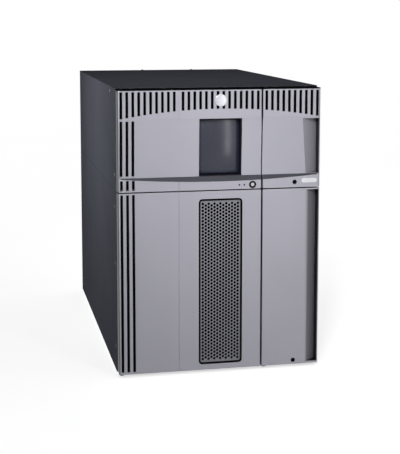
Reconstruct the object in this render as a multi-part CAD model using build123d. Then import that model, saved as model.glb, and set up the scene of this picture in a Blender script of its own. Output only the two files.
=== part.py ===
from build123d import *
import os
from math import acos, atan2, cos, hypot, pi, sin, sqrt

# Free-standing data tape library: a five-unit control module on a nine-unit storage module.
# Frame: +X to the right, +Y to the back, +Z up, origin on the floor under the middle of the box.

# ---------------------------------------------------------------- driving dimensions (mm)
rack_unit_height = 44.45
lower_units = 9
upper_units = 5
foot_height = 5.0
foot_radius = 20.0
foot_inset = 45.0
chassis_width = 450.0
front_inset = 1.5
body_depth = 791.0
handle_reach = 17.0
badge_proud = 2.0
sheet = 1.5
slide_gap = 0.3
shaft_gap = 0.05
panel_joint_gap = 1.0

# door frames, rear vents and screws
frame_side_margin = 15.0
frame_end_margin = 16.0
frame_post_width = 24.0
frame_return_depth = 6.0
pan_lip_height = 9.0
joint_lap = 3.0
vent_rows = 4
vent_pitch = 12.0
vent_height = 5.0
vent_side_margin = 29.0
vent_top_margin = 25.0
screw_radius = 3.4
screw_height = 0.9
screw_inset = 10.0
low_screw_height = 55.0
middle_screw_height = 240.0
joint_screw_gap = 35.0
top_screw_setback = 70.0
cover_screw_inset = 9.0
cover_screw_xs = (-50.0, 90.0)

# doors
door_depth = 28.0
door_back_gap = 4.0
door_wall = 3.0
end_wall = 4.0
module_gap = 2.5
seam_gap = 2.5
io_door_width = 130.25
outer_round = 4.0
seam_round = 2.0
door_top_drop = 5.0
door_bottom_lift = 2.0
cap_height = 2.2
cap_inset = 0.5
pivot_inset = 6.0
pin_radius = 2.0
bracket_width = 9.0
groove_width = 1.2
groove_depth = 0.9

# header slots, side slits, leaning field and sill
slot_pitch = 12.7
slot_width = 6.0
slot_seam_margin = 9.6
slot_edge_margin = 7.0
slot_top_margin = 2.6
middle_slot_length = 38.0
slot_arch_radius = 1235.0
slit_columns = 3
slit_margin = 3.0
header_height = 61.6
field_height = 125.0
field_depth_top = 0.6
field_depth_bottom = 6.0
sill_height = 17.9
sill_arc_rise = 9.8
sill_side_margin = 6.5
liner_thickness = 1.5

# operator panel, indicators and button in the upper access door
panel_half_width = 47.0
panel_depth = 24.0
panel_wall = 2.0
panel_ledge = 4.5
lens_bulge = 4.0
lens_edge = 2.5
light_radius = 1.75
light_height = 9.1
light_spacing = 11.0
light_button_gap = 18.5
button_seam_gap = 21.0
button_height = 9.2
button_radius = 5.2
button_proud = 0.4
button_cap_depth = 4.4
button_stem_length = 8.0
button_travel = 1.5
ring_radius = 8.0
ring_bore = 5.5
ring_proud = 1.0
round_badge_drop = 22.3
round_badge_radius = 13.0

# I/O doors
lock_edge_gap = 57.5
upper_lock_height = 11.7
lower_lock_height = 9.4
lock_radius = 4.9
lock_boss_wall = 2.3
lock_length = 16.0
lock_inset = 0.4
keyway_width = 1.2
keyway_length = 6.0
upper_scoop_width = 45.0
lower_scoop_width = 33.5
scoop_depth = 22.0
scoop_round = 12.0
scoop_margin = 3.0
scoop_sill = 1.0
oval_badge_edge_gap = 24.5
oval_badge_height = 14.7
oval_badge_length = 34.6
oval_badge_width = 10.0

# grille in the lower access door
grille_half_width = 48.5
grille_bottom_margin = 12.3
grille_top_margin = 17.1
grille_round = 7.5
grille_border = 4.0
grille_gap = 0.2
grille_seat_depth = 2.5
grille_sheet_thickness = 1.2
grille_pitch = 29.0
grille_hole = 11.5

# storage
cartridge_length = 102.0
cartridge_width = 105.4
cartridge_height = 21.5
cell_clearance = 0.9
cell_wall = 2.2
cell_back = 3.0
lower_rows = 15
upper_rows = 7
side_columns = 3
upper_io_rows = 6
lower_io_rows = 12

# robot
gear_module = 4.0
pinion_teeth = 9
tooth_root_depth = 1.25
rack_root_share = 0.33
rack_tip_share = 0.12
pinion_root_share = 0.83
pinion_tip_share = 0.27
rack_aisle_margin = 24.7
rail_depth = 12.0
rail_width = 10.0
rail_frame_gap = 8.0
rail_column_gap = 6.0
rail_drive_gap = 9.0
rail_top_gap = 6.0
lift_clear = 9.5
lift_travel = 500.0
beam_width = 36.0
beam_height = 24.0
beam_wall = 2.5
beam_shaft_gap = 8.0
end_plate_thickness = 4.0
end_plate_gap = 0.5
end_plate_reach = 20.0
shoe_thickness = 3.2
shaft_radius = 4.0
shaft_floor_gap = 1.5
motor_flange = 23.0
motor_radius = 10.5
motor_length = 34.0
carriage_thickness = 5.0
carriage_length = 90.0
carriage_reach = 45.0
skirt_thickness = 3.0
skirt_depth = 10.0
spindle_radius = 10.0
turret_rest_gap = 30.0
turret_lift_gap = 0.6
turret_half_width = 58.0
turret_half_length = 64.0
turret_wall = 2.5
turret_floor_thickness = 5.0
turret_height = 30.0
turret_corner_cut = 9.0
gripper_half_width = 22.0
gripper_sledge_length = 60.0
gripper_sledge_height = 8.0
gripper_jaw_width = 8.0
gripper_jaw_height = 16.0
gripper_front_gap = 6.0
scanner_width = 22.0
scanner_length = 40.0
scanner_height = 14.0
scanner_rim = 3.0

# rear units
drive_width = 150.0
drive_height = 92.0
drive_length = 300.0
supply_height = 62.0
supply_length = 230.0
blade_height = 40.0
blade_length = 190.0
unit_spacing = 16.5
unit_side_margin = 20.0
unit_clearance = 0.8
face_thickness = 1.5
face_lap = 4.0
mouth_clearance = 1.0
mouth_depth = 20.0
handle_width = 7.0
handle_bar = 4.0
handle_leg = 5.0
supply_handle_inset = 10.0
drive_handle_inset = 22.0
drive_handle_margin = 12.0
sled_socket_inset = 20.0
sled_socket_width = 35.0
sled_socket_height = 16.0
sled_socket_depth = 6.0
fan_radius = 21.0
fan_blades = 5
fan_side_margin = 9.0
fan_opening_gap = 1.5
fan_opening_depth = 22.0
fan_pin_radius = 2.0
fan_depth = 12.0
fan_hub_radius = 8.5
fan_blade_thickness = 1.2
fan_blade_angle = 35.0
fan_rest_gap = 2.0
inlet_margin = 7.25
inlet_height = 20.0
inlet_depth = 16.0
blade_socket_margin = 12.0
blade_socket_pitch = 22.0
blade_socket_width = 15.0
blade_socket_height = 12.0
blade_socket_depth = 10.0
blade_handle_inset = 13.0

# ---------------------------------------------------------------- derived places
total_depth = badge_proud + body_depth + handle_reach
y_front = -total_depth / 2 + badge_proud
y_door_back = y_front + door_depth
y_frame = y_door_back + door_back_gap
y_inner = y_frame + sheet
y_rear = y_front + body_depth
y_face = y_rear + slide_gap + face_thickness
z_base = foot_height
z_floor = z_base + sheet
z_split = z_base + lower_units * rack_unit_height
z_top = z_split + upper_units * rack_unit_height
z_deck_low = z_split - sheet
z_deck = z_split + sheet
z_ceiling = z_top - sheet
lower_module_z = (z_base, z_split - panel_joint_gap / 2)
upper_module_z = (z_split + panel_joint_gap / 2, z_ceiling)
half_chassis = chassis_width / 2
half_front = half_chassis - front_inset
half_inner = half_chassis - sheet

# doors
z_door_top = z_top - door_top_drop
cap_top = z_door_top + cap_height
upper_door_z = (z_split + module_gap / 2, z_door_top)
lower_door_z = (z_base + door_bottom_lift, z_split - module_gap / 2)
seam_x = half_front - io_door_width - seam_gap / 2
access_x = (-half_front, seam_x - seam_gap / 2)
io_x = (seam_x + seam_gap / 2, half_front)
access_opening = (-half_front + frame_side_margin, seam_x - frame_post_width / 2)
io_opening = (seam_x + frame_post_width / 2, half_front - frame_side_margin)
pivot_y = y_front + pivot_inset
access_pivot_x = access_x[0] + pivot_inset
io_pivot_x = io_x[0] + pivot_inset
y_pocket = y_front + door_wall
y_field_pocket = y_front + field_depth_bottom + door_wall
field_top = z_door_top - header_height
field_bottom = field_top - field_height
field_side = half_front - door_wall
sill_top = upper_door_z[0] + sill_height
sill_reach = half_front - sill_side_margin
sill_arc_radius = (sill_reach**2 + sill_arc_rise**2) / (2 * sill_arc_rise)
slot_high = z_door_top - slot_top_margin
slot_arch_top = slot_high - middle_slot_length
middle_reach = int((seam_x - slot_seam_margin - slot_pitch / 2) / slot_pitch + 0.1)
side_slots = int((half_front - slot_edge_margin - seam_x - slot_seam_margin) / slot_pitch) + 1
middle_slot_xs = [(i + 0.5) * slot_pitch for i in range(-middle_reach - 1, middle_reach + 1)]
side_slot_xs = [seam_x + slot_seam_margin + i * slot_pitch for i in range(side_slots)]
slit_xs = [-x for x in reversed(side_slot_xs[-slit_columns:])]
button_x = seam_x - button_seam_gap
button_z = upper_door_z[0] + button_height
ring_depth = button_cap_depth - button_proud + button_travel + slide_gap
light_xs = (button_x - light_button_gap - light_spacing, button_x - light_button_gap)
light_z = upper_door_z[0] + light_height
round_badge_z = z_door_top - round_badge_drop
lock_x = half_front - lock_edge_gap
upper_lock_z = upper_door_z[0] + upper_lock_height
lower_lock_z = lower_door_z[0] + lower_lock_height
upper_scoop_start = half_front - upper_scoop_width
lower_scoop_start = half_front - lower_scoop_width
upper_scoop_z = (field_bottom + scoop_sill, field_top - slit_margin)
lower_scoop_z = (lower_door_z[0] + end_wall + scoop_sill, lower_door_z[1] - scoop_margin)
oval_badge_x = half_front - oval_badge_edge_gap
oval_badge_z = upper_door_z[0] + oval_badge_height
y_grille = y_front + grille_seat_depth
grille_low = lower_door_z[0] + grille_bottom_margin
grille_high = lower_door_z[1] - grille_top_margin
top_tab_z = (cap_top + slide_gap, cap_top + slide_gap + sheet)
middle_tab_z = (z_split - sheet / 2, z_split + sheet / 2)
bottom_tab_z = (z_base, z_floor)

# storage
aisle_half = half_inner - cell_back - cartridge_length - 2 * cell_clearance
y_drive = y_rear - drive_length
y_front_rail = y_inner + rail_frame_gap
y_columns = y_front_rail + rail_depth + rail_column_gap
y_rear_rail = y_drive - rail_depth - rail_drive_gap
column_pitch = cartridge_width + 2 * cell_clearance + 2 * cell_wall
row_pitch = cartridge_height + 2 * cell_clearance + cell_wall

# robot
pitch_radius = gear_module * pinion_teeth / 2
tooth_pitch = pi * gear_module
rack_pitch_x = aisle_half - rack_aisle_margin
rack_root_x = rack_pitch_x + tooth_root_depth * gear_module
rail_x = (rack_root_x, rack_root_x + rail_width)
axis_z = z_floor + pitch_radius + gear_module + shaft_floor_gap
shaft_x = rack_pitch_x - pitch_radius
beam_x = (shaft_x - beam_shaft_gap - beam_width, shaft_x - beam_shaft_gap)
beam_z = (z_floor + lift_clear, z_floor + lift_clear + beam_height)
front_plate_low = y_front_rail + rail_depth + end_plate_gap
front_plate_y = (front_plate_low, front_plate_low + end_plate_thickness)
rear_plate_y = (y_rear_rail - end_plate_gap - end_plate_thickness, y_rear_rail - end_plate_gap)
turret_y = y_columns + turret_half_length + turret_rest_gap
carriage_z = (beam_z[1] + slide_gap, beam_z[1] + slide_gap + carriage_thickness)
turret_low = carriage_z[1] + turret_lift_gap
turret_floor = (turret_low, turret_low + turret_floor_thickness)

# rear units
unit_xs = {"drive": (-drive_width / 2, drive_width / 2),
           "supply": (drive_width / 2 + unit_spacing, half_inner - unit_side_margin),
           "blade": (-half_inner + unit_side_margin, -drive_width / 2 - unit_spacing)}
drive_zs = {"drive_sled_1": z_deck + slide_gap,
            "drive_sled_2": z_deck + drive_height + face_lap + 3 * slide_gap,
            "drive_sled_3": z_floor + slide_gap}
supply_zs = {"power_supply_1": z_deck + slide_gap, "power_supply_2": z_floor + slide_gap}
blade_z = z_deck + slide_gap
vent_x = (drive_width / 2 + vent_side_margin, half_inner - vent_side_margin)
drive_handle_right = unit_xs["drive"][1] - drive_handle_inset
drive_handle_x = (drive_handle_right - handle_width, drive_handle_right)
sled_socket_left = unit_xs["drive"][0] + sled_socket_inset
sled_socket_x = (sled_socket_left, sled_socket_left + sled_socket_width)
fan_x = unit_xs["supply"][0] + fan_radius + fan_side_margin
supply_handle_right = unit_xs["supply"][1] - supply_handle_inset
supply_handle_x = (supply_handle_right - handle_width, supply_handle_right)
inlet_x = (fan_x + fan_radius + fan_opening_gap + inlet_margin, supply_handle_x[0] - inlet_margin)
blade_handle_right = unit_xs["blade"][1] - blade_handle_inset
blade_handle_x = (blade_handle_right - handle_width, blade_handle_right)
blade_socket_start = unit_xs["blade"][0] + blade_socket_margin
blade_sockets = int((blade_handle_x[0] - blade_socket_start) / blade_socket_pitch)


# ---------------------------------------------------------------- helpers
def block(x, y, z):
    """A box between two X, two Y and two Z values."""
    middle = [(low + high) / 2 for low, high in (x, y, z)]
    return Pos(*middle) * Box(x[1] - x[0], y[1] - y[0], z[1] - z[0])


def rod_y(x, z, radius, y):
    """A round bar along Y."""
    return Pos(x, (y[0] + y[1]) / 2, z) * Rot(90, 0, 0) * Cylinder(radius, y[1] - y[0])


def rod_z(x, y, radius, z):
    """A round bar along Z."""
    return Pos(x, y, (z[0] + z[1]) / 2) * Cylinder(radius, z[1] - z[0])


def front_prism(sketch, y):
    """A front-view sketch (X across, Z up) drawn out between two Y values."""
    view = Plane(origin=(0, y[0], 0), x_dir=(1, 0, 0), z_dir=(0, -1, 0))
    return extrude(view * sketch, amount=y[0] - y[1])


def side_prism(points, x):
    """A closed outline of (Y, Z) points drawn out between two X values."""
    view = Plane(origin=(x[0], 0, 0), x_dir=(0, 1, 0), z_dir=(1, 0, 0))
    return extrude(view * make_face(Polyline(*points, close=True)), amount=x[1] - x[0])


def plan_prism(face, z):
    """A plan-view face drawn up between two Z values."""
    return extrude(Pos(0, 0, z[0]) * face, amount=z[1] - z[0])


def grown(span, margin):
    """A pair of limits moved outwards by a margin, or inwards by a negative one."""
    return (span[0] - margin, span[1] + margin)


def through(y):
    """The Y span of a cut that passes right through a wall between two Y values."""
    return grown(y, 1)


def window(x, z, y, rim):
    """A sheet-metal return round a rectangular opening, on the outside of it."""
    return block(grown(x, rim), y, grown(z, rim)) - block(x, through(y), z)


def stepped_rectangle(width, height, radius):
    """A rectangle whose round corners are each drawn in three straight steps."""
    points = []
    for turn, side_x, side_z in ((0, 1, 1), (pi / 2, -1, 1), (pi, -1, -1), (3 * pi / 2, 1, -1)):
        for angle in (turn, turn + pi / 6, turn + pi / 3, turn + pi / 2):
            x = side_x * (width / 2 - radius) + radius * cos(angle)
            points.append((x, side_z * (height / 2 - radius) + radius * sin(angle)))
    return make_face(Polyline(*points, close=True))


def many_sided(x, z, radius, sides, y):
    """A straight bar along Y whose outline has many equal sides, for small round parts that don't turn."""
    return front_prism(Pos(x, z) * RegularPolygon(radius, sides), y)


def write(name, *solids):
    """Writes one node, of one solid or of a group of separate solids."""
    shape = solids[0] if len(solids) == 1 else Compound(children=list(solids))
    shape.label = name
    export_step(shape, f"parts/{name}.step")


# ---------------------------------------------------------------- chassis
def rubber_feet():
    """Four round pads, set in from the corners of the base."""
    y_rows = (y_frame + foot_inset, y_rear - foot_inset)
    x_rows = (-half_chassis + foot_inset, half_chassis - foot_inset)
    outline = RegularPolygon(foot_radius, 12)
    return [plan_prism(Pos(x, y) * outline, (0, foot_height)) for x in x_rows for y in y_rows]


def base_pan():
    """The floor sheet with its front edge turned up."""
    plate = block((-half_inner, half_inner), (y_inner, y_rear - sheet), (z_base, z_floor))
    lip_z = (z_floor, z_floor + pan_lip_height)
    front_lip = block((-half_inner, half_inner), (y_inner, y_inner + sheet), lip_z)
    return plate + front_lip


def side_panel(side, z):
    """A flat side sheet; side is -1 for left and 1 for right."""
    x = sorted((side * half_inner, side * half_chassis))
    return block(x, (y_frame, y_rear), z)


def top_cover():
    """The flat lid."""
    return block((-half_chassis, half_chassis), (y_frame, y_rear), (z_ceiling, z_top))


def joint_frame():
    """The double flange between the modules: two side rails and two cross rails round the robot's aisle."""
    z = (z_deck_low, z_deck)
    aisle_x = grown((-aisle_half, aisle_half), -joint_lap)
    left = block((-half_inner, aisle_x[0]), (y_inner, y_rear - sheet), z)
    right = block((aisle_x[1], half_inner), (y_inner, y_rear - sheet), z)
    front = block(aisle_x, (y_inner, y_inner + joint_lap), z)
    rear = block(aisle_x, (y_drive - joint_lap, y_rear - sheet), z)
    return [left, right, front, rear]


def front_frame(z):
    """A door frame: one sheet with an access opening, an I/O opening and returns round both."""
    frame = block((-half_inner, half_inner), (y_frame, y_inner), z)
    opening_z = grown(z, -frame_end_margin)
    for x in (access_opening, io_opening):
        frame -= block(x, through((y_frame, y_inner)), opening_z)
        frame += window(x, opening_z, (y_inner, y_inner + frame_return_depth), sheet)
    return frame


def bay(kind, z, height):
    """The rear-panel opening round one plug-in unit."""
    x = grown(unit_xs[kind], unit_clearance)
    return block(x, through((y_rear - sheet, y_rear)), grown((z, z + height), unit_clearance))


def rear_panel(z):
    """The back sheet of one module with a bay for each of its units and vent rows above them."""
    panel = block((-half_inner, half_inner), (y_rear - sheet, y_rear), z)
    for name, low in drive_zs.items():
        if z[0] < low < z[1]:
            panel -= bay("drive", low, drive_height)
    for name, low in supply_zs.items():
        if z[0] < low < z[1]:
            panel -= bay("supply", low, supply_height)
    if z[0] < blade_z < z[1]:
        panel -= bay("blade", blade_z, blade_height)
    for row in range(vent_rows):
        high = z[1] - vent_top_margin - row * vent_pitch
        for side in (-1, 1):
            x = sorted(side * limit for limit in vent_x)
            panel -= block(x, through((y_rear - sheet, y_rear)), (high - vent_height, high))
    return panel


def drive_shelf():
    """A bridge over the first drive sled that carries the second."""
    x = unit_xs["drive"]
    legs_x = grown(x, 2 * slide_gap + sheet)
    top = drive_zs["drive_sled_2"] - slide_gap
    y = (y_drive + mouth_depth, y_rear - sheet)
    cover = block(legs_x, y, (top - sheet, top))
    left = block((legs_x[0], legs_x[0] + sheet), y, (z_deck, top - sheet))
    right = block((legs_x[1] - sheet, legs_x[1]), y, (z_deck, top - sheet))
    return cover + left + right


def hinge_strip(x, top_pin, bottom_pin):
    """A full-height strip on the door frames with three tabs, whose pins enter the doors' end walls."""
    reach = end_wall + module_gap / 2 - slide_gap
    side = grown((x, x), bracket_width / 2)
    strip = block(side, (y_frame - sheet, y_frame), (z_base, top_tab_z[1]))
    pins = ((top_tab_z, top_pin), (middle_tab_z, z_split - reach), (middle_tab_z, z_split + reach),
            (bottom_tab_z, bottom_pin))
    for z in (top_tab_z, middle_tab_z, bottom_tab_z):
        tab = block(side, (pivot_y - bracket_width / 2, y_frame), z)
        strip += chamfer(tab.edges().filter_by(Axis.Z).group_by(Axis.Y)[0], bracket_width / 4)
    for z, end_z in pins:
        strip += rod_z(x, pivot_y, pin_radius, sorted((sum(z) / 2, end_z)))
    return strip


def hinge_brackets():
    """The hinge strips of the access doors and of the I/O doors."""
    top_pin = z_door_top - door_wall + slide_gap
    bottom_pin = lower_door_z[0] + end_wall - slide_gap
    return [hinge_strip(x, top_pin, bottom_pin) for x in (access_pivot_x, io_pivot_x)]


def screw_head(height):
    """A hexagonal screw head, centred on its own middle."""
    return extrude(RegularPolygon(screw_radius, 6), amount=height / 2, both=True)


def panel_screws():
    """Hexagon-head screws: on the side panels' front edges and at the back of the top cover."""
    front_y = y_frame + screw_inset
    heights = (z_base + low_screw_height, z_base + middle_screw_height, z_split - joint_screw_gap,
               z_split + joint_screw_gap)
    spots = [(front_y, z) for z in heights]
    spots.append((front_y + top_screw_setback, z_ceiling - screw_inset))
    made = []
    for side in (-1, 1):
        for y, z in spots:
            place = Pos(side * (half_chassis + screw_height / 2), y, z) * Rot(0, 90, 0)
            made.append(place * screw_head(screw_height))
    for x in cover_screw_xs:
        place = Pos(x, y_rear - cover_screw_inset, z_top + screw_height)
        made.append(place * screw_head(2 * screw_height))
    return made


# ---------------------------------------------------------------- doors
def slot_row(xs, low, high):
    """A front-view sketch of upright slots; low is a function of X."""
    made = Sketch()
    for x in xs:
        made += Pos(x, (low(x) + high) / 2) * Rectangle(slot_width, high - low(x))
    return made


def arch(x):
    """The arched line on which the header slots end."""
    return slot_arch_top - slot_arch_radius + sqrt(slot_arch_radius**2 - x**2)


def header_xs(x_span):
    """Slot centres of the three header groups that lie inside one door."""
    left = [-x for x in side_slot_xs]
    return [x for x in left + middle_slot_xs + side_slot_xs if x_span[0] < x < x_span[1]]


def sill_arc_z(x):
    """The sagging line along the top of the sill strip."""
    return sill_top + sill_arc_radius - sqrt(sill_arc_radius**2 - x**2)


def crescent(lift):
    """The sickle between the field's straight lower edge and the sill's arc, raised by lift."""
    end_z = sill_arc_z(sill_reach)
    sag = ThreePointArc((-sill_reach, end_z + lift), (0, sill_top + lift), (sill_reach, end_z + lift))
    rise = Line((sill_reach, end_z + lift), (sill_reach, field_bottom))
    top = Line((sill_reach, field_bottom), (-sill_reach, field_bottom))
    fall = Line((-sill_reach, field_bottom), (-sill_reach, end_z + lift))
    return make_face(sag + rise + top + fall)


def door_block(x, z, left_round, right_round):
    """A door's outer block with its upright front edges rounded."""
    body = block(x, (y_front, y_door_back), z)
    upright = body.edges().filter_by(Axis.Z).group_by(Axis.Y)[0].sort_by(Axis.X)
    body = fillet(upright[0], left_round)
    right_edge = body.edges().filter_by(Axis.Z).sort_by(Axis.X)[-2:].sort_by(Axis.Y)[0]
    return fillet(right_edge, right_round)


def field_cut(x):
    """The wedge by which the field leans back below the header."""
    outline = ((y_front - 1, field_top), (y_front + field_depth_top, field_top),
               (y_front + field_depth_bottom, field_bottom), (y_front - 1, field_bottom))
    return side_prism(outline, x)


def upper_pocket(x):
    """The open-backed inside of an upper door, open at the top for its black insert."""
    inner_x = grown(x, -door_wall)
    z_low = upper_door_z[0] + end_wall
    deep = block(inner_x, (y_field_pocket, y_door_back + 1), (z_low, z_door_top + 1))
    header = block(inner_x, (y_pocket, y_field_pocket + 1), (field_top + door_wall, z_door_top + 1))
    sill = block(inner_x, (y_pocket, y_field_pocket + 1), (z_low, sill_top - door_wall))
    return deep + header + sill


def groove(z):
    """The fine upright joint line that mirrors the door seam on the left."""
    return block(grown((-seam_x, -seam_x), groove_width / 2), (y_front - 1, y_front + groove_depth), z)


def upper_access_door():
    """The wide upper door: slotted header, leaning field, panel opening, sill and hinge bores."""
    door = door_block(access_x, upper_door_z, outer_round, seam_round)
    door -= upper_pocket(access_x)
    door -= field_cut((-field_side, seam_x))
    cuts = slot_row(header_xs(access_x), arch, slot_high)
    cuts += slot_row(slit_xs, lambda x: field_bottom + slit_margin + scoop_sill, field_top - slit_margin)
    cuts += slot_row(slit_xs, lambda x: upper_door_z[0] + slit_margin, sill_arc_z(sill_reach) - slit_margin)
    wall_y = through((y_front, y_field_pocket))
    door -= front_prism(cuts, wall_y)
    door -= front_prism(crescent(0), wall_y)
    door -= block((-panel_half_width, panel_half_width), wall_y, (field_bottom, field_top))
    door -= groove(grown(upper_door_z, 1))
    for x in light_xs:
        door -= many_sided(x, light_z, light_radius + slide_gap, 12, through((y_front, y_pocket)))
    door -= many_sided(button_x, button_z, ring_radius + shaft_gap, 16, (y_front - 1, y_front + ring_depth))
    return door - hinge_bore(access_pivot_x, upper_door_z[0])


def hinge_bore(x, z):
    """A bore for a hinge pin through the end wall that starts at z."""
    return rod_z(x, pivot_y, pin_radius + shaft_gap, (z - 1, z + end_wall + 1))


def upper_insert(x, slit_side):
    """The black insert of an upper door: top cap, top wall and the backing behind the slots."""
    inner_x = grown(x, -door_wall)
    cap = block(grown(x, -cap_inset), (y_front + cap_inset, y_door_back), (z_door_top, cap_top))
    wall = block(inner_x, (y_pocket, y_door_back), (z_door_top - door_wall, z_door_top))
    y = (y_field_pocket, y_field_pocket + liner_thickness)
    backing = block(inner_x, y, (field_top + slide_gap, z_door_top - door_wall))
    made = cap + wall + backing
    pivot = access_pivot_x if slit_side else io_pivot_x
    if slit_side:
        slit_right = slit_xs[-1] + slot_width
        made += block((inner_x[0], slit_right), y, (upper_door_z[0] + end_wall + 1, field_top + slide_gap))
    return made - rod_z(pivot, pivot_y, pin_radius + shaft_gap, (z_door_top - door_wall - 1, cap_top + 1))


def sill_trim(x):
    """The dark sloped sickle that leads from the leaning field out to the sill."""
    body = front_prism(crescent(0.2), (y_front, y_field_pocket))
    slope = ((y_front - 1, sill_top), (y_front, sill_top),
             (y_front + field_depth_bottom, field_bottom), (y_front + field_depth_bottom, field_bottom + 1),
             (y_front - 1, field_bottom + 1))
    body -= side_prism(slope, (-half_front, half_front))
    return body & block(x, (y_front - 1, y_door_back), (sill_top - 1, field_bottom + 1))


def panel_tray():
    """The black open-fronted tray that recesses the operator panel."""
    x = (-panel_half_width, panel_half_width)
    z = (field_bottom, field_top)
    tray = block(x, (y_front + field_depth_bottom, y_front + panel_depth), z)
    inner_y = (y_front, y_front + panel_depth - panel_wall)
    return tray - block(grown(x, -panel_wall), inner_y, grown(z, -panel_wall))


def panel_lens():
    """The smoked touch screen: flat at the back, bowed at the front."""
    half = panel_half_width - panel_wall - slide_gap
    back = y_front + panel_depth - panel_wall
    edge = back - lens_edge
    bow = ThreePointArc((-half, edge), (0, edge - lens_bulge), (half, edge))
    sides = Polyline((half, edge), (half, back), (-half, back), (-half, edge))
    z = (field_bottom + panel_ledge, field_top - panel_wall - slide_gap)
    return plan_prism(make_face(bow + sides), z)


def status_lights():
    """Two small round indicator lights in the sill strip."""
    y = (y_front + slide_gap / 2, y_pocket + door_wall)
    return [many_sided(x, light_z, light_radius, 12, y) for x in light_xs]


def button_ring():
    """The black collar in which the power button slides."""
    y = (y_front - ring_proud, y_front + ring_depth)
    ring = many_sided(button_x, button_z, ring_radius, 16, y)
    return ring - many_sided(button_x, button_z, ring_bore, 16, through(y))


def power_button():
    """The round push button with a stem behind."""
    cap_back = y_front - button_proud + button_cap_depth
    cap = many_sided(button_x, button_z, button_radius, 16, (y_front - button_proud, cap_back))
    stem = many_sided(button_x, button_z, button_radius / 2, 8, (cap_back, cap_back + button_stem_length))
    return cap + stem


def round_badge():
    """A blank disc with a bevelled rim on the header."""
    disc = many_sided(0, round_badge_z, round_badge_radius, 24, (y_front - badge_proud, y_front))
    return chamfer(disc.edges().group_by(Axis.Y)[0], badge_proud / 2)


def scoop_turn(start):
    """The angle by which a scoop's brow turns, so that its slope ends at the scoop's depth at the lip."""
    run = half_front - door_wall - start
    drop = scoop_round - scoop_depth
    return atan2(run, drop) - acos(scoop_round / hypot(run, drop))


def scoop_face(start, grow):
    """Plan outline of a finger scoop: a rounded brow and a straight slope back to the door's lip."""
    end = half_front - door_wall
    turn = scoop_turn(start)
    brow_end = (start + scoop_round * sin(turn), y_front + scoop_round * (1 - cos(turn)))
    brow_mid = (start + scoop_round * sin(turn / 2), y_front + scoop_round * (1 - cos(turn / 2)))
    brow = ThreePointArc((start, y_front), brow_mid, brow_end)
    lip = (end, y_front + scoop_depth)
    rest = Polyline(brow_end, lip, (end, y_front - 1), (start, y_front - 1), (start, y_front))
    outline = make_face(brow + rest)
    return offset(outline, amount=grow, kind=Kind.INTERSECTION) if grow else outline


def scooped(door, pocket, start, z):
    """Hollows a door block by its pocket and adds the finger scoop with a full wall behind it."""
    skin = plan_prism(scoop_face(start, door_wall), grown(z, door_wall))
    hollow = plan_prism(scoop_face(start, 0), z)
    return door - (pocket - skin) - hollow


def lock_bore(door, z):
    """Adds the lock's boss behind the front wall and bores it."""
    boss = many_sided(lock_x, z, lock_radius + lock_boss_wall, 8, (y_pocket, y_front + 0.75 * lock_length))
    return door + boss - rod_y(lock_x, z, lock_radius + shaft_gap, through((y_front, y_front + lock_length)))


def upper_io_door():
    """The narrow upper door: slotted header, leaning field, finger scoop, sill and lock boss."""
    door = door_block(io_x, upper_door_z, seam_round, outer_round)
    door = scooped(door, upper_pocket(io_x), upper_scoop_start, upper_scoop_z)
    door -= field_cut((seam_x, field_side))
    wall_y = (y_front - 1, y_field_pocket)
    door -= front_prism(slot_row(header_xs(io_x), arch, slot_high), wall_y)
    door -= front_prism(crescent(0), wall_y) & block(io_x, wall_y, upper_door_z)
    door = lock_bore(door, upper_lock_z)
    return door - hinge_bore(io_pivot_x, upper_door_z[0])


def lower_pocket(x):
    """The open-backed inside of a lower door."""
    return block(grown(x, -door_wall), (y_pocket, y_door_back + 1), grown(lower_door_z, -end_wall))


def lower_io_door():
    """The narrow lower door with its long finger scoop and lock boss."""
    door = door_block(io_x, lower_door_z, seam_round, outer_round)
    door = scooped(door, lower_pocket(io_x), lower_scoop_start, lower_scoop_z)
    door = lock_bore(door, lower_lock_z)
    door -= hinge_bore(io_pivot_x, lower_door_z[0])
    return door - hinge_bore(io_pivot_x, lower_door_z[1] - end_wall)


def grille_outline(inset):
    """Front-view outline of the grille opening, drawn in by inset."""
    width = 2 * (grille_half_width - inset)
    height = grille_high - grille_low - 2 * inset
    return Pos(0, (grille_low + grille_high) / 2) * stepped_rectangle(width, height, grille_round - inset)


def lower_access_door():
    """The wide lower door with slits, a joint line and the grille opening."""
    door = door_block(access_x, lower_door_z, outer_round, seam_round)
    door -= lower_pocket(access_x)
    slits = slot_row(slit_xs, lambda x: lower_scoop_z[0], lower_door_z[1] - slit_margin)
    door -= front_prism(slits, (y_front - 1, y_pocket + 1))
    door -= front_prism(grille_outline(0), (y_front - 1, y_pocket + 1))
    door -= groove(grown(lower_door_z, 1))
    door -= hinge_bore(access_pivot_x, lower_door_z[0])
    return door - hinge_bore(access_pivot_x, lower_door_z[1] - end_wall)


def lower_liner():
    """The black backing behind the lower door's slits."""
    x = (access_x[0] + door_wall, slit_xs[-1] + slot_width)
    z = (lower_door_z[0] + end_wall, lower_door_z[1] - end_wall)
    return block(x, (y_pocket, y_pocket + liner_thickness), z)


def grille_frame():
    """The black border ring in the grille opening."""
    y = (y_front + grille_gap, y_grille)
    return front_prism(grille_outline(grille_gap), y) - front_prism(grille_outline(grille_border), through(y))


def grille_mesh():
    """The perforated sheet behind the ring, with staggered hexagonal holes."""
    y = (y_grille, y_grille + grille_sheet_thickness)
    plate = front_prism(grille_outline(grille_gap + slide_gap), y)
    column_step = grille_pitch * sqrt(3) / 2
    usable = grille_half_width - grille_border - grille_hole
    columns = int(usable / column_step)
    low = grille_low + grille_border + grille_pitch / 2
    high = grille_high - grille_border - grille_pitch / 2
    holes = Sketch()
    for i in range(-columns, columns + 1):
        z = low + (grille_pitch / 2 if i % 2 else 0)
        while z <= high:
            holes += Pos(i * column_step, z) * RegularPolygon(grille_hole, 6)
            z += grille_pitch
    return plate - front_prism(holes, through(y))


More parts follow.
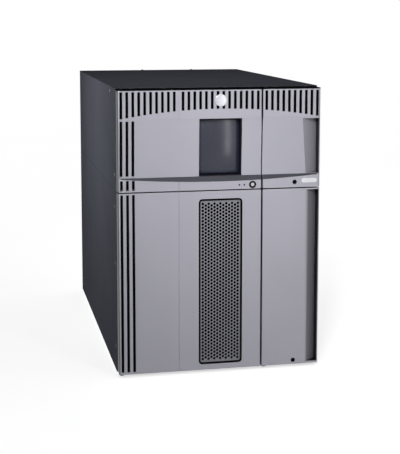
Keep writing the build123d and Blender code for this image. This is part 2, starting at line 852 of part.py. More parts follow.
def oval_badge():
    """A blank rounded plate on the sill of the I/O door."""
    radius = oval_badge_width / 2
    shift = oval_badge_length / 2 - radius
    y = (y_front - badge_proud / 2, y_front)
    x = grown((oval_badge_x, oval_badge_x), shift)
    middle = block(x, y, grown((oval_badge_z, oval_badge_z), radius))
    ends = many_sided(x[0], oval_badge_z, radius, 16, y) + many_sided(x[1], oval_badge_z, radius, 16, y)
    return middle + ends


def lock_plug(z):
    """A lock's turning plug with its keyway."""
    plug = rod_y(lock_x, z, lock_radius, (y_front + lock_inset, y_front + lock_length))
    keyway_x = grown((lock_x, lock_x), keyway_width / 2)
    return plug - block(keyway_x, (y_front, y_front + lock_length / 4), grown((z, z), keyway_length / 2))


# ---------------------------------------------------------------- storage
def cell_block(x, y, z_low, rows, columns, mouth):
    """A magazine block with rows and columns of cells whose mouths face the aisle (mouth is 1 or -1)."""
    height = rows * row_pitch + cell_wall
    body = block(x, y, (z_low, z_low + height))
    back = x[0] + cell_back if mouth > 0 else x[1] - cell_back
    front = x[1] + 1 if mouth > 0 else x[0] - 1
    cell_x = sorted((back, front))
    for row in range(rows):
        for column in range(columns):
            low = z_low + cell_wall + row * row_pitch
            near = y[0] + cell_wall + column * column_pitch
            cell_y = (near, near + column_pitch - 2 * cell_wall)
            body -= block(cell_x, cell_y, (low, low + row_pitch - cell_wall))
    return body


def magazine(side, first_column, columns, z_low, rows):
    """The magazines along one side: side is -1 for left and 1 for right."""
    x = sorted((side * half_inner, side * aisle_half))
    y_low = y_columns + first_column * column_pitch
    return cell_block(x, (y_low, y_low + columns * column_pitch), z_low, rows, columns, -side)


def cartridges(side, first_column, columns, z_low, rows):
    """One cartridge in each cell of a block of magazines."""
    back = side * (half_inner - cell_back - cell_clearance)
    x = sorted((back, back - side * cartridge_length))
    made = []
    for row in range(rows):
        for column in range(columns):
            low = z_low + cell_wall + row * row_pitch
            near = y_columns + (first_column + column) * column_pitch + cell_wall + cell_clearance
            made.append(block(x, (near, near + cartridge_width), (low, low + cartridge_height)))
    return made


# ---------------------------------------------------------------- robot
def lift_rail(y_low):
    """An upright rail whose inner edge is a gear rack, in mesh with a pinion at the lift's rest height."""
    y = (y_low, y_low + rail_depth)
    rail = block(rail_x, y, (z_floor, z_ceiling - rail_top_gap))
    count = int((lift_travel + 2 * pitch_radius) / tooth_pitch)
    half_root, half_tip = rack_root_share * tooth_pitch, rack_tip_share * tooth_pitch
    tip = rack_pitch_x - gear_module
    root = rail_x[0]
    outline = []
    for i in range(count):
        z = axis_z + (i - 1 + 0.5) * tooth_pitch
        outline += [(root, z - half_root), (tip, z - half_tip), (tip, z + half_tip), (root, z + half_root)]
    outline += [(root + 1, outline[-1][1]), (root + 1, outline[0][1])]
    teeth = front_prism(make_face(Polyline(*outline, close=True)), (y[0] + 1, y[1] - 1))
    return rail + teeth


def pinion(y):
    """A spur pinion with straight-flanked teeth; one tooth points at the rack."""
    root = pitch_radius - tooth_root_depth * gear_module
    tip = pitch_radius + gear_module
    root_half, tip_half = pinion_root_share * gear_module, pinion_tip_share * gear_module
    outline = []
    for i in range(pinion_teeth):
        middle = 2 * pi * i / pinion_teeth
        for radius, half in ((root, -root_half), (tip, -tip_half), (tip, tip_half), (root, root_half)):
            outline.append((radius, middle + half / radius))
    points = [(r * cos(a), r * sin(a)) for r, a in outline]
    face = Pos(shaft_x, axis_z) * make_face(Polyline(*points, close=True))
    return front_prism(face, y)


def lift_shaft():
    """The cross shaft that turns both pinions together."""
    y = (y_front_rail + 1, y_rear_rail + rail_depth - 1)
    shaft = rod_y(shaft_x, axis_z, shaft_radius, y)
    return shaft + pinion((y[0], y[0] + rail_depth - 2)) + pinion((y[1] - rail_depth + 2, y[1]))


def end_plate(y, shoe_y):
    """A lift end plate with the shaft's bearing and a shoe that runs beside the rail."""
    shoe_x = (rail_x[1] + slide_gap, rail_x[1] + slide_gap + shoe_thickness)
    plate = block((-end_plate_reach, shoe_x[1]), y, beam_z) + block(shoe_x, shoe_y, beam_z)
    return plate - rod_y(shaft_x, axis_z, shaft_radius + shaft_gap, through(y))


def lift_beam():
    """The channel beam along the aisle, with an end plate at each rail."""
    y = (front_plate_y[1], rear_plate_y[0])
    shoe = rail_depth - 2 * end_plate_gap
    beam = block(beam_x, y, beam_z)
    hollow_z = (beam_z[0] - 1, beam_z[1] - beam_wall)
    beam -= block(grown(beam_x, -beam_wall), grown(y, -end_plate_thickness), hollow_z)
    beam += end_plate(front_plate_y, (front_plate_y[0] - shoe, front_plate_y[0]))
    return beam + end_plate(rear_plate_y, (rear_plate_y[1], rear_plate_y[1] + shoe))


def lift_motor():
    """A small geared motor on the front end plate."""
    y = front_plate_y[1]
    x = beam_x[0] - slide_gap - motor_flange / 2
    z = sum(beam_z) / 2
    flange_y = (y, y + end_plate_thickness)
    flange = block(grown((x, x), motor_flange / 2), flange_y, grown((z, z), motor_flange / 2))
    return flange + many_sided(x, z, motor_radius, 20, (flange_y[1], flange_y[1] + motor_length))


def picker_carriage():
    """The sledge that runs along the beam and carries the turret's spindle."""
    y = grown((turret_y, turret_y), carriage_length / 2)
    skirt_z = (beam_z[1] - skirt_depth, carriage_z[0])
    left_x = (beam_x[0] - slide_gap - skirt_thickness, beam_x[0] - slide_gap)
    right_x = (beam_x[1] + slide_gap, beam_x[1] + slide_gap + skirt_thickness)
    plate = block((-carriage_reach, right_x[1]), y, carriage_z)
    left = block(left_x, y, skirt_z)
    right = block(right_x, y, skirt_z)
    spindle = rod_z(0, turret_y, spindle_radius, (carriage_z[1], turret_floor[1] - slide_gap))
    return plate + left + right + spindle


def picker_turret():
    """The turning tray that holds one cartridge, open at its reaching end."""
    x = (-turret_half_width, turret_half_width)
    y = grown((turret_y, turret_y), turret_half_length)
    z = (turret_floor[0], turret_floor[1] + turret_height)
    tray = block(x, y, z)
    tray -= block(grown(x, -turret_wall), (y[0] + turret_wall, y[1] + 1), (turret_floor[1], z[1] + 1))
    corner_y = (y[0] - 1, y[0] + turret_corner_cut)
    for corner_x in x:
        tray -= block(grown((corner_x, corner_x), turret_corner_cut), corner_y, through(z))
    return tray - rod_z(0, turret_y, spindle_radius + shaft_gap, through(turret_floor))


def gripper():
    """The reaching slide with two finger jaws, at rest inside the turret."""
    z_low = turret_floor[1] + slide_gap
    sledge_x = (-gripper_half_width, gripper_half_width)
    sledge_y = grown((turret_y, turret_y), gripper_sledge_length / 2)
    sledge = block(sledge_x, sledge_y, (z_low, z_low + gripper_sledge_height))
    jaw_y = (sledge_y[1] - 2 * gripper_jaw_width, turret_y + turret_half_length - gripper_front_gap)
    for side in (-1, 1):
        jaw_x = sorted((side * (gripper_half_width - gripper_jaw_width), side * gripper_half_width))
        sledge += block(jaw_x, jaw_y, (z_low, z_low + gripper_jaw_height))
    return sledge


def bar_code_scanner():
    """The reader on the turret's side wall, with a recessed window at its end."""
    z = (turret_floor[1] + turret_height, turret_floor[1] + turret_height + scanner_height)
    x = (-turret_half_width, -turret_half_width + scanner_width)
    y_end = turret_y + turret_half_length - 2 * gripper_front_gap
    body = block(x, (y_end - scanner_length, y_end), z)
    return body - block(grown(x, -scanner_rim), (y_end - scanner_rim, y_end + 1), grown(z, -scanner_rim))


# ---------------------------------------------------------------- rear units
def unit_handle(x, z):
    """A bent-bar pull handle standing upright on a unit's face."""
    tip = y_rear + handle_reach
    bar = block(x, (y_face, tip), z)
    return bar - block(through(x), (y_face - 1, tip - handle_bar), grown(z, -handle_leg))


def recess(x, depth, z):
    """A pocket of the given depth in a unit's face."""
    return block(x, (y_face - depth, y_face + 1), z)


def unit_body(kind, z, height, length):
    """A plug-in unit's case and its overlapping rear face."""
    x = unit_xs[kind]
    case = block(x, (y_rear - length, y_rear + slide_gap), (z, z + height))
    face_z = (z + slide_gap, z + height + face_lap)
    return case + block(grown(x, face_lap), (y_rear + slide_gap, y_face), face_z)


def drive_sled(z):
    """A tape drive in its sled: cartridge mouth at the front, handle and connector recess at the back."""
    sled = unit_body("drive", z, drive_height, drive_length)
    middle = (z + drive_height / 2, z + drive_height / 2)
    mouth_x = grown((-cartridge_width / 2, cartridge_width / 2), mouth_clearance)
    mouth_z = grown(middle, cartridge_height / 2 + mouth_clearance)
    sled -= block(mouth_x, (y_drive - 1, y_drive + mouth_depth), mouth_z)
    sled -= recess(sled_socket_x, sled_socket_depth, grown(middle, sled_socket_height / 2))
    return sled + unit_handle(drive_handle_x, grown((z, z + drive_height), -drive_handle_margin))


def power_supply(z):
    """A power supply with a fan opening, a mains inlet recess and a handle."""
    supply = unit_body("supply", z, supply_height, supply_length)
    middle = z + supply_height / 2
    fan_back = y_face - fan_opening_depth
    supply -= many_sided(fan_x, middle, fan_radius + fan_opening_gap, 24, (fan_back, y_face + 1))
    pin_y = (fan_back - slide_gap, fan_back + fan_rest_gap + fan_depth)
    supply += rod_y(fan_x, middle, fan_pin_radius, pin_y)
    supply -= recess(inlet_x, inlet_depth, grown((middle, middle), inlet_height / 2))
    return supply + unit_handle(supply_handle_x, grown((z, z + supply_height), -handle_leg))


def fan_rotor(z):
    """A bladed rotor on the supply's fan pin."""
    middle = z + supply_height / 2
    fan_back = y_face - fan_opening_depth + fan_rest_gap
    y = (fan_back, fan_back + fan_depth)
    rotor = many_sided(fan_x, middle, fan_hub_radius, 2 * fan_blades, y)
    reach = fan_radius - fan_hub_radius / 2
    for i in range(fan_blades):
        spread = Pos(fan_radius - reach / 2, 0, 0) * Rot(fan_blade_angle, 0, 0)
        turn = Rot(0, (i + 0.5) * 360 / fan_blades, 0)
        blade = Box(reach, fan_blade_thickness, fan_depth)
        rotor += Pos(fan_x, sum(y) / 2, middle) * turn * spread * blade
    return rotor - rod_y(fan_x, middle, fan_pin_radius + shaft_gap, through(y))


def control_blade():
    """The controller's plug-in board with a row of sockets and a pull handle."""
    blade = unit_body("blade", blade_z, blade_height, blade_length)
    middle = blade_z + blade_height / 2
    for i in range(blade_sockets):
        left = blade_socket_start + i * blade_socket_pitch
        socket_z = grown((middle, middle), blade_socket_height / 2)
        blade -= recess((left, left + blade_socket_width), blade_socket_depth, socket_z)
    return blade + unit_handle(blade_handle_x, grown((blade_z, blade_z + blade_height), -handle_leg))


# ---------------------------------------------------------------- write every node
os.makedirs("parts", exist_ok=True)

write("rubber_feet", *rubber_feet())
write("base_pan", base_pan())
write("lower_left_panel", side_panel(-1, lower_module_z))
write("lower_right_panel", side_panel(1, lower_module_z))
write("upper_left_panel", side_panel(-1, upper_module_z))
write("upper_right_panel", side_panel(1, upper_module_z))
write("lower_front_frame", front_frame(lower_module_z))
write("upper_front_frame", front_frame(upper_module_z))
write("lower_rear_panel", rear_panel(lower_module_z))
write("upper_rear_panel", rear_panel(upper_module_z))
write("joint_frame", *joint_frame())
write("top_cover", top_cover())
write("hinge_brackets", *hinge_brackets())
write("panel_screws", *panel_screws())
write("drive_shelf", drive_shelf())

write("upper_access_door", upper_access_door())
write("upper_access_insert", upper_insert(access_x, True))
write("upper_access_sill_trim", sill_trim((-half_front, access_x[1])))
write("panel_tray", panel_tray())
write("panel_lens", panel_lens())
write("status_lights", *status_lights())
write("power_button_ring", button_ring())
write("power_button", power_button())
write("round_badge", round_badge())
write("upper_io_door", upper_io_door())
write("upper_io_insert", upper_insert(io_x, False))
write("upper_io_sill_trim", sill_trim((io_x[0], half_front)))
write("oval_badge", oval_badge())
write("upper_lock_plug", lock_plug(upper_lock_z))
write("lower_access_door", lower_access_door())
write("lower_access_liner", lower_liner())
write("grille_frame", grille_frame())
write("grille_mesh", grille_mesh())
write("lower_io_door", lower_io_door())
write("lower_lock_plug", lock_plug(lower_lock_z))

storage = ((-1, 0, side_columns, z_floor, lower_rows, "left_lower_magazines"),
           (1, 1, side_columns - 1, z_floor, lower_rows, "right_lower_magazines"),
           (-1, 0, side_columns, z_deck, upper_rows, "left_upper_magazines"),
           (1, 1, side_columns - 1, z_deck, upper_rows, "right_upper_magazines"),
           (1, 0, 1, z_floor, lower_io_rows, "lower_io_magazine"))
stored = []
for side, first, columns, low, rows, name in storage:
    write(name, magazine(side, first, columns, low, rows))
    stored += cartridges(side, first, columns, low, rows)
write("stored_cartridges", *stored)
write("upper_io_magazine", magazine(1, 0, 1, z_deck, upper_io_rows))

write("front_lift_rail", lift_rail(y_front_rail))
write("rear_lift_rail", lift_rail(y_rear_rail))
write("lift_beam", lift_beam())
write("lift_motor", lift_motor())
write("lift_shaft", lift_shaft())
write("picker_carriage", picker_carriage())
write("picker_turret", picker_turret())
write("gripper", gripper())
write("bar_code_scanner", bar_code_scanner())

for name, low in drive_zs.items():
    write(name, drive_sled(low))
for name, low in supply_zs.items():
    write(name, power_supply(low))
    write(name.replace("supply", "fan"), fan_rotor(low))
write("control_blade", control_blade())
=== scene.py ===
"""Finishes and fine pieces of a free-standing data tape library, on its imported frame.

Metres throughout, +X to the right, +Y to the back, +Z up, the floor at Z = 0.
"""

import math

import bmesh
import bpy
import numpy as np
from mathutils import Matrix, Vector


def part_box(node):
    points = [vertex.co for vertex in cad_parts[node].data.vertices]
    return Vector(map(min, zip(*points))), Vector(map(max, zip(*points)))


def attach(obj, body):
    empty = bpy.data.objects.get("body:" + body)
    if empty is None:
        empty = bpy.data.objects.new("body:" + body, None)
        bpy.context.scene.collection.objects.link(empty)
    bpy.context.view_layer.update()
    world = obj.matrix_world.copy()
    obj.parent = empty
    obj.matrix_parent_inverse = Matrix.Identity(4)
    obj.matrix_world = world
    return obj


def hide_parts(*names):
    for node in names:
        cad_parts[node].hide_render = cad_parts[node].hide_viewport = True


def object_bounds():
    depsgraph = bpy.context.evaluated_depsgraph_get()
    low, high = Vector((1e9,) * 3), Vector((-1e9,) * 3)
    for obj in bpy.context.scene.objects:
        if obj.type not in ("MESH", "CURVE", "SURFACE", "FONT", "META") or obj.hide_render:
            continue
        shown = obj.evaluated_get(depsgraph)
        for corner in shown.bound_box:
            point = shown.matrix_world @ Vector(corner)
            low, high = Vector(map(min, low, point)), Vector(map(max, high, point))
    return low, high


bl_info = {
    "name": "Data tape library",
    "version": (1, 0, 0),
    "blender": (4, 5, 0),
    "location": "View3D > Sidebar > Tape Library",
    "description": "Finishes, fine pieces and the stage of a data tape library",
    "category": "Object",
}

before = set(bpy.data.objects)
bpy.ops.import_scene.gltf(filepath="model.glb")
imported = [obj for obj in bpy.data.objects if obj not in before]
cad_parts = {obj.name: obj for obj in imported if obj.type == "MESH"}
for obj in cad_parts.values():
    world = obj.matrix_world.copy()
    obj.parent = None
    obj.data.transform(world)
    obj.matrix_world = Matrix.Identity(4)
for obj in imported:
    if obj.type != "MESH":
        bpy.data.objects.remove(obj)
cad_low, cad_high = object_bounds()
MM = 0.001

# Each turns a piece made facing up (X, Y, height) to face the way that its name says.
FACING = {
    "front": np.array(((1, 0, 0), (0, 0, -1), (0, 1, 0)), float),
    "back": np.array(((-1, 0, 0), (0, 0, 1), (0, 1, 0)), float),
    "left": np.array(((0, 0, -1), (-1, 0, 0), (0, 1, 0)), float),
    "right": np.array(((0, 0, 1), (1, 0, 0), (0, 1, 0)), float),
    "up": np.eye(3),
}


# ---------------------------------------------------------------- settings
def shade(red, green, blue):
    """A colour from 0 to 255 screen values as the linear values that shaders take."""
    value = np.array((red, green, blue)) / 255
    linear = np.where(value < 0.04045, value / 12.92, ((value + 0.055) / 1.055) ** 2.4)
    return tuple(float(v) for v in linear)


def colour_setting(name, description, default):
    """A colour property with its picker."""
    return bpy.props.FloatVectorProperty(
        name=name, description=description, default=default, subtype="COLOR", size=3, min=0, max=1
    )


def length_setting(name, description, default):
    """A length property in metres."""
    return bpy.props.FloatProperty(
        name=name, description=description, default=default,
        subtype="DISTANCE", unit="LENGTH", min=0, precision=5,
    )


def angle_setting(name, description, degrees):
    """An angle property whose default is given in degrees."""
    return bpy.props.FloatProperty(
        name=name, description=description, default=math.radians(degrees), subtype="ANGLE"
    )


def number_setting(name, description, default, unit="NONE"):
    """A number property: millimetres with the unit CAMERA, watts with POWER, else a plain number."""
    return bpy.props.FloatProperty(name=name, description=description, default=default, unit=unit)


class LibraryColours(bpy.types.PropertyGroup):
    """Colours of the case, the doors and the pieces on them."""

    silver: colour_setting("Silver paint", "Paint of the four front doors", shade(166, 165, 175))
    # Dark grey of the sill trims: painted shade on the ledge under each door field
    charcoal: colour_setting("Charcoal trim", "Paint of the sickle-shaped trim", shade(66, 67, 74))
    cover: colour_setting("Top cover", "Powder coat of the lid", shade(62, 64, 70))
    side: colour_setting("Side panels", "Powder coat of the sides and the back", shade(80, 82, 90))
    # The black also serves as painted shade on the doors' side walls, slot walls, seams and inside
    black: colour_setting(
        "Black mouldings", "Inserts, button collar and the bare inside of the doors", shade(12, 12, 13)
    )
    tray: colour_setting("Panel tray", "Moulding round the screen", shade(26, 27, 33))
    screen: colour_setting("Screen", "Smoked touch screen", shade(40, 43, 58))
    mesh: colour_setting("Grille sheet", "Paint of the perforated sheet", shade(136, 136, 143))
    button: colour_setting("Button cap", "Power button", shade(196, 196, 202))
    disc: colour_setting("Badge disc", "Metal of the blank disc on the header", shade(194, 195, 201))
    plate: colour_setting("Oval plate", "Enamel of the blank oval plate", shade(224, 225, 230))


class LibrarySizes(bpy.types.PropertyGroup):
    """Sizes of the fine pieces."""

    door_edge: length_setting("Door edge", "Rounding of the doors' edges", 0.3 * MM)
    case_edge: length_setting("Case edge", "Rounding of all other sheet and moulded edges", 0.3 * MM)
    hole_radius: length_setting("Hole radius", "Radius of the grille's round holes", 2.95 * MM)
    hole_pitch: length_setting("Hole pitch", "Distance between neighbouring grille holes", 7.5 * MM)
    sheet: length_setting("Sheet", "Thickness of the grille's perforated sheet", 1.0 * MM)
    grille_border: length_setting("Grille border", "Width of the blank margin round the holes", 4.0 * MM)
    guard_wire: length_setting("Guard wire", "Diameter of the fan guards' wire", 1.5 * MM)
    label_length: length_setting("Label length", "Length of a blank cartridge label", 78 * MM)
    label_height: length_setting("Label height", "Height of a blank cartridge label", 15 * MM)


class LibraryStage(bpy.types.PropertyGroup):
    """Camera and lights."""

    camera_place: bpy.props.FloatVectorProperty(
        name="Camera place", description="Where the camera stands",
        default=(-0.5223, -2.7025, 0.7799), subtype="TRANSLATION", unit="LENGTH",
    )
    turn: angle_setting("Turn", "Turn of the camera to the right", 11.707)
    tilt: angle_setting("Tilt", "Tilt of the camera downwards", 6.703)
    lens: number_setting("Lens", "Focal length on a 36 mm sensor", 87.466, "CAMERA")
    shift: number_setting("Shift", "Downward shift of the view, in sensor widths", 0.18)
    key: number_setting("Key light", "Soft light on the upper front", 1.0, "POWER")
    fill: number_setting("Fill light", "Soft light on the upper left side", 0.8, "POWER")
    strip: number_setting("Strip light", "Narrow upright light on the right", 6.0, "POWER")
    room: number_setting("Room light", "Strength of the even light all round", 0.38)


# ---------------------------------------------------------------- surfaces from arrays
def grid(x, y, z):
    """Arrays of X, Y and Z, stretched to one shape, as a list of points."""
    return np.stack(np.broadcast_arrays(x, y, z), -1).reshape(-1, 3)


def quads(rows, columns, wrap=True):
    """Corner numbers of the quads between neighbouring rows and columns of a grid of points.

    Quad (i, j) joins the points (i, j), (i, j+1), (i+1, j+1) and (i+1, j). With wrap, quads also join the
    last column to the first.
    """
    last = columns if wrap else columns - 1
    row, column = np.meshgrid(np.arange(rows - 1), np.arange(last), indexing="ij")
    here, there = row * columns, (row + 1) * columns
    after = (column + 1) % columns
    return np.stack((here + column, here + after, there + after, there + column), -1).reshape(-1, 4)


def turned(profile, segments, wobble=1.0):
    """A turned piece: each (radius, height) of the profile is carried round the axis.

    Point (i, j) = (r_i cos a_j, r_i sin a_j, h_i), with a_j = 2 pi j / segments. An array as wobble scales
    r_i by a factor for each i and j, which gives knurls and hexagonal sockets.
    """
    radius, height = np.array(profile, float).T
    angle = np.arange(segments) * 2 * np.pi / segments
    reach = radius[:, None] * wobble
    return grid(reach * np.cos(angle), reach * np.sin(angle), height[:, None]), quads(len(radius), segments)


def oblong(profile, half_straight, segments):
    """A pillow with two round ends: the profile's (radius, height) carried round a stadium outline.

    On the right cap the point is (s + r cos a, r sin a, h) and on the left cap (-s + r cos a, r sin a, h).
    """
    radius, height = np.array(profile, float).T
    right = np.linspace(-np.pi / 2, np.pi / 2, segments)
    angle = np.concatenate((right, right + np.pi))
    centre = np.repeat((half_straight, -half_straight), segments)
    reach = radius[:, None]
    points = grid(centre + reach * np.cos(angle), reach * np.sin(angle), height[:, None])
    return points, quads(len(radius), 2 * segments)


def pillow(length, width, height, corner, steps=5):
    """A slightly crowned plate: a rounded rectangle whose rings shrink as they rise.

    Ring k is inset by d_k = corner (1 - cos t_k) and raised by h_k = height sin t_k, for t from 0 to 90
    degrees. Its corners are arcs of the radius 1.5 corner - d_k. The last ring closes on the middle line,
    and a first one at the centre closes the base.
    """
    turn = np.linspace(0, np.pi / 2, steps)
    inset = np.append(corner * (1 - np.cos(turn)), width / 2)
    rise = np.concatenate(((0,), height * np.sin(turn), (height,)))
    arc = np.linspace(0, np.pi / 2, 4)
    angle = np.concatenate([arc + quarter * np.pi / 2 for quarter in range(4)])
    way_x = np.repeat((1, -1, -1, 1), len(arc))
    way_y = np.repeat((1, 1, -1, -1), len(arc))
    curve = np.maximum(corner * 1.5 - inset, 0)[:, None]
    x = way_x * (np.maximum(length / 2 - inset, 0)[:, None] - curve) + curve * np.cos(angle)
    y = way_y * (np.maximum(width / 2 - inset, 0)[:, None] - curve) + curve * np.sin(angle)
    centre = np.zeros(len(angle))
    points = grid(np.vstack((centre, x)), np.vstack((centre, y)), rise[:, None])
    return points, quads(len(rise), len(angle))


def ring(radius, wire, around=48, across=8):
    """A wire ring: point (i, j) = ((R + w cos b_j) cos a_i, (R + w cos b_j) sin a_i, w sin b_j)."""
    a = (np.arange(around + 1) * 2 * np.pi / around)[:, None]
    b = np.arange(across) * 2 * np.pi / across
    reach = radius + wire * np.cos(b)
    return grid(reach * np.cos(a), reach * np.sin(a), wire * np.sin(b)), quads(around + 1, across)


def rod(start, end, wire, across=8):
    """A round rod with domed ends.

    Circles of the radius w sin t stand -w cos t from the start and w cos t from the end, for t from 0 to 90
    degrees, each in the plane of two directions at right angles to the line.
    """
    along = (end - start) / np.linalg.norm(end - start)
    side = np.cross(along, (0.3, 0.5, 0.81))  # any direction that no rod runs in
    side /= np.linalg.norm(side)
    other = np.cross(along, side)
    cap = np.linspace(0, np.pi / 2, 4)
    reach = np.concatenate((wire * np.sin(cap), wire * np.sin(cap[::-1])))
    place = np.concatenate((-wire * np.cos(cap), wire * np.cos(cap[::-1])))
    middle = np.repeat((start, end), len(cap), 0) + place[:, None] * along
    b = (np.arange(across) * 2 * np.pi / across)[:, None]
    spoke = np.cos(b) * side + np.sin(b) * other
    points = middle[:, None] + reach[:, None, None] * spoke
    return points.reshape(-1, 3), quads(len(reach), across)


def perforated(x_span, z_span, margin, pitch, radius):
    """A flat sheet with staggered round holes, facing the front, in the plane Y = 0.

    Columns of holes stand pitch * sqrt(3) / 2 apart and every second one is raised by half a pitch. Each hole
    lies in its own rectangle, and sixteen quads join the circle's points r (cos a, sin a) to the rectangle's
    rim. The rim's point k is (swing(k), swing(k - 4)) in half sides, where swing is a triangle wave of the
    height 2 that is cut off at 1. Plain strips fill the space from the outer rectangles to the sheet's edge.
    """
    step = pitch * math.sqrt(3) / 2
    x_mid, z_mid = sum(x_span) / 2, sum(z_span) / 2
    side_columns = int(((x_span[1] - x_span[0]) / 2 - margin - radius) / step)
    clear = margin + 1.3 * radius  # from the sheet's lower and upper edge to the first hole's centre
    rows = int((z_span[1] - z_span[0] - 2 * clear) / pitch) + 1
    z_first = z_mid - (rows - 1) / 2 * pitch
    column = np.arange(-side_columns, side_columns + 1)
    grid_i, grid_k = np.meshgrid(column, np.arange(rows), indexing="ij")
    odd = grid_i % 2 == 1
    kept = ~(odd & (grid_k == rows - 1))
    centre_x = (x_mid + grid_i * step)[kept]
    centre_z = (z_first + (grid_k + 0.5 * odd) * pitch)[kept]

    def swing(k):
        """The rim's distance from the hole's centre, in half sides."""
        return np.clip(2 - abs((k + 6) % 16 - 8) / 2, -1, 1)

    turn = np.arange(16)
    rim = np.stack((swing(turn), swing(turn - 4)), -1) * (step / 2, pitch / 2)
    angle = np.radians(-45 + 22.5 * turn)
    hole = radius * np.stack((np.cos(angle), np.sin(angle)), -1)
    cell = np.concatenate((hole, rim))
    flat = np.stack((centre_x, centre_z), -1)[:, None] + cell
    faces = quads(2, len(hole))[:, ::-1] + len(cell) * np.arange(len(flat))[:, None, None]
    points, quad_list = [flat.reshape(-1, 2)], [faces.reshape(-1, 4)]

    def strip(xs, zs):
        """Plain quads between two rising lists of X and Z."""
        gx, gz = np.meshgrid(xs, zs)
        start = sum(len(p) for p in points)
        points.append(np.stack((gx, gz), -1).reshape(-1, 2))
        quad_list.append(quads(len(zs), len(xs), wrap=False) + start)

    low, high = z_first - pitch / 2, z_first + (rows - 0.5) * pitch
    quarter = np.arange(3) * pitch / 4
    for i in column:
        xs = x_mid + (i + np.linspace(-0.5, 0.5, 5)) * step
        if i % 2:
            strip(xs, np.concatenate(((z_span[0],), low + quarter)))
            strip(xs, np.concatenate((high - quarter[::-1], (z_span[1],))))
        else:
            strip(xs, np.array((z_span[0], low)))
            strip(xs, np.array((high, z_span[1])))
    levels = np.concatenate(((z_span[0],), low + np.arange(4 * rows + 1) * pitch / 4, (z_span[1],)))
    edge = (side_columns + 0.5) * step
    strip(np.array((x_span[0], x_mid - edge)), levels)
    strip(np.array((x_mid + edge, x_span[1])), levels)
    flat = np.concatenate(points)
    return grid(flat[:, 0], 0, flat[:, 1]), np.concatenate(quad_list)


def quarter_round(radius, foot, width, rise, steps=6):
    """A profile that rounds inwards from (radius, foot) to (radius - width, foot + rise): a rim or a dome.

    Point k = (radius - width (1 - cos t_k), foot + rise sin t_k), for t from 0 to 90 degrees.
    """
    t = np.linspace(0, np.pi / 2, steps)
    return list(zip(radius - width * (1 - np.cos(t)), foot + rise * np.sin(t)))


def joined(shapes):
    """Several (points, quads) as one."""
    counts = np.cumsum([0] + [len(points) for points, _ in shapes])
    points = np.concatenate([points for points, _ in shapes])
    faces = np.concatenate([faces + start for (_, faces), start in zip(shapes, counts)])
    return points, faces


def placed(shape, facing, spot):
    """A shape made facing up, turned to its facing and moved to its spot."""
    points, faces = shape
    return points @ FACING[facing].T + np.array(spot, float), faces


def copies(shape, facing, spots):
    """One shape at many spots."""
    return joined([placed(shape, facing, spot) for spot in spots])


def new_piece(name, shape, material, body, replaces=(), closed=True, smooth=True):
    """Makes a mesh object of the arrays, closes its seams and poles, and lets it ride on its body."""
    points, faces = shape
    mesh = bpy.data.meshes.new(name)
    mesh.from_pydata(points.tolist(), [], faces.tolist())
    work = bmesh.new()
    work.from_mesh(mesh)
    seam = 0.004 * MM
    bmesh.ops.remove_doubles(work, verts=work.verts, dist=seam)
    bmesh.ops.dissolve_degenerate(work, edges=work.edges, dist=seam)
    if closed:
        bmesh.ops.recalc_face_normals(work, faces=work.faces)
    work.to_mesh(mesh)
    work.free()
    mesh.materials.append(material)
    piece = bpy.data.objects.new(name, mesh)
    bpy.context.scene.collection.objects.link(piece)
    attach(piece, body)
    if replaces:
        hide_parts(*replaces)
    if smooth:
        mesh.shade_smooth()
        mesh.set_sharp_from_angle(angle=math.radians(40))
    return piece


def sheet_piece(name, shape, thickness, material, body, replaces=()):
    """Makes a flat sheet whose thickness lies behind its face."""
    piece = new_piece(name, shape, material, body, replaces, closed=False, smooth=False)
    thick = piece.modifiers.new("thickness", "SOLIDIFY")
    thick.thickness = thickness
    thick.offset = -1


# ---------------------------------------------------------------- places from the frame
def box(node):
    """The low and high corner of a node as arrays."""
    low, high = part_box(node)
    return np.array(low), np.array(high)


def back_middle(low, high):
    """The middle of the back of a box, where a piece that faces the front is seated."""
    return np.array(((low[0] + high[0]) / 2, high[1], (low[2] + high[2]) / 2))


def solids(node):
    """The low and high corners of each separate solid of a node.

    Triangles that share a corner belong together: each corner takes the lowest label among its triangles'
    corners until nothing changes.
    """
    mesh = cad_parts[node].data
    corner = np.empty(len(mesh.vertices) * 3)
    mesh.vertices.foreach_get("co", corner)
    points, same = np.unique(np.round(corner.reshape(-1, 3), 6), axis=0, return_inverse=True)
    index = np.empty(len(mesh.loops), int)
    mesh.loops.foreach_get("vertex_index", index)
    triangle = same.reshape(-1)[index].reshape(-1, 3)
    label = np.arange(len(points))
    while True:
        lowest = label[triangle].min(1)
        after = label.copy()
        np.minimum.at(after, triangle.ravel(), np.repeat(lowest, 3))
        if (after == label).all():
            break
        label = after
    return [(points[label == k].min(0), points[label == k].max(0)) for k in np.unique(label)]


# ---------------------------------------------------------------- finishes
def add_node(tree, kind, inputs=None, **settings):
    """Adds a node with its settings. Each input is a value, or a socket that is joined to it."""
    node = tree.nodes.new(kind)
    for name, value in settings.items():
        setattr(node, name, value)
    for name, value in (inputs or {}).items():
        if isinstance(value, bpy.types.NodeSocket):
            tree.links.new(value, node.inputs[name])
        else:
            node.inputs[name].default_value = value
    return node


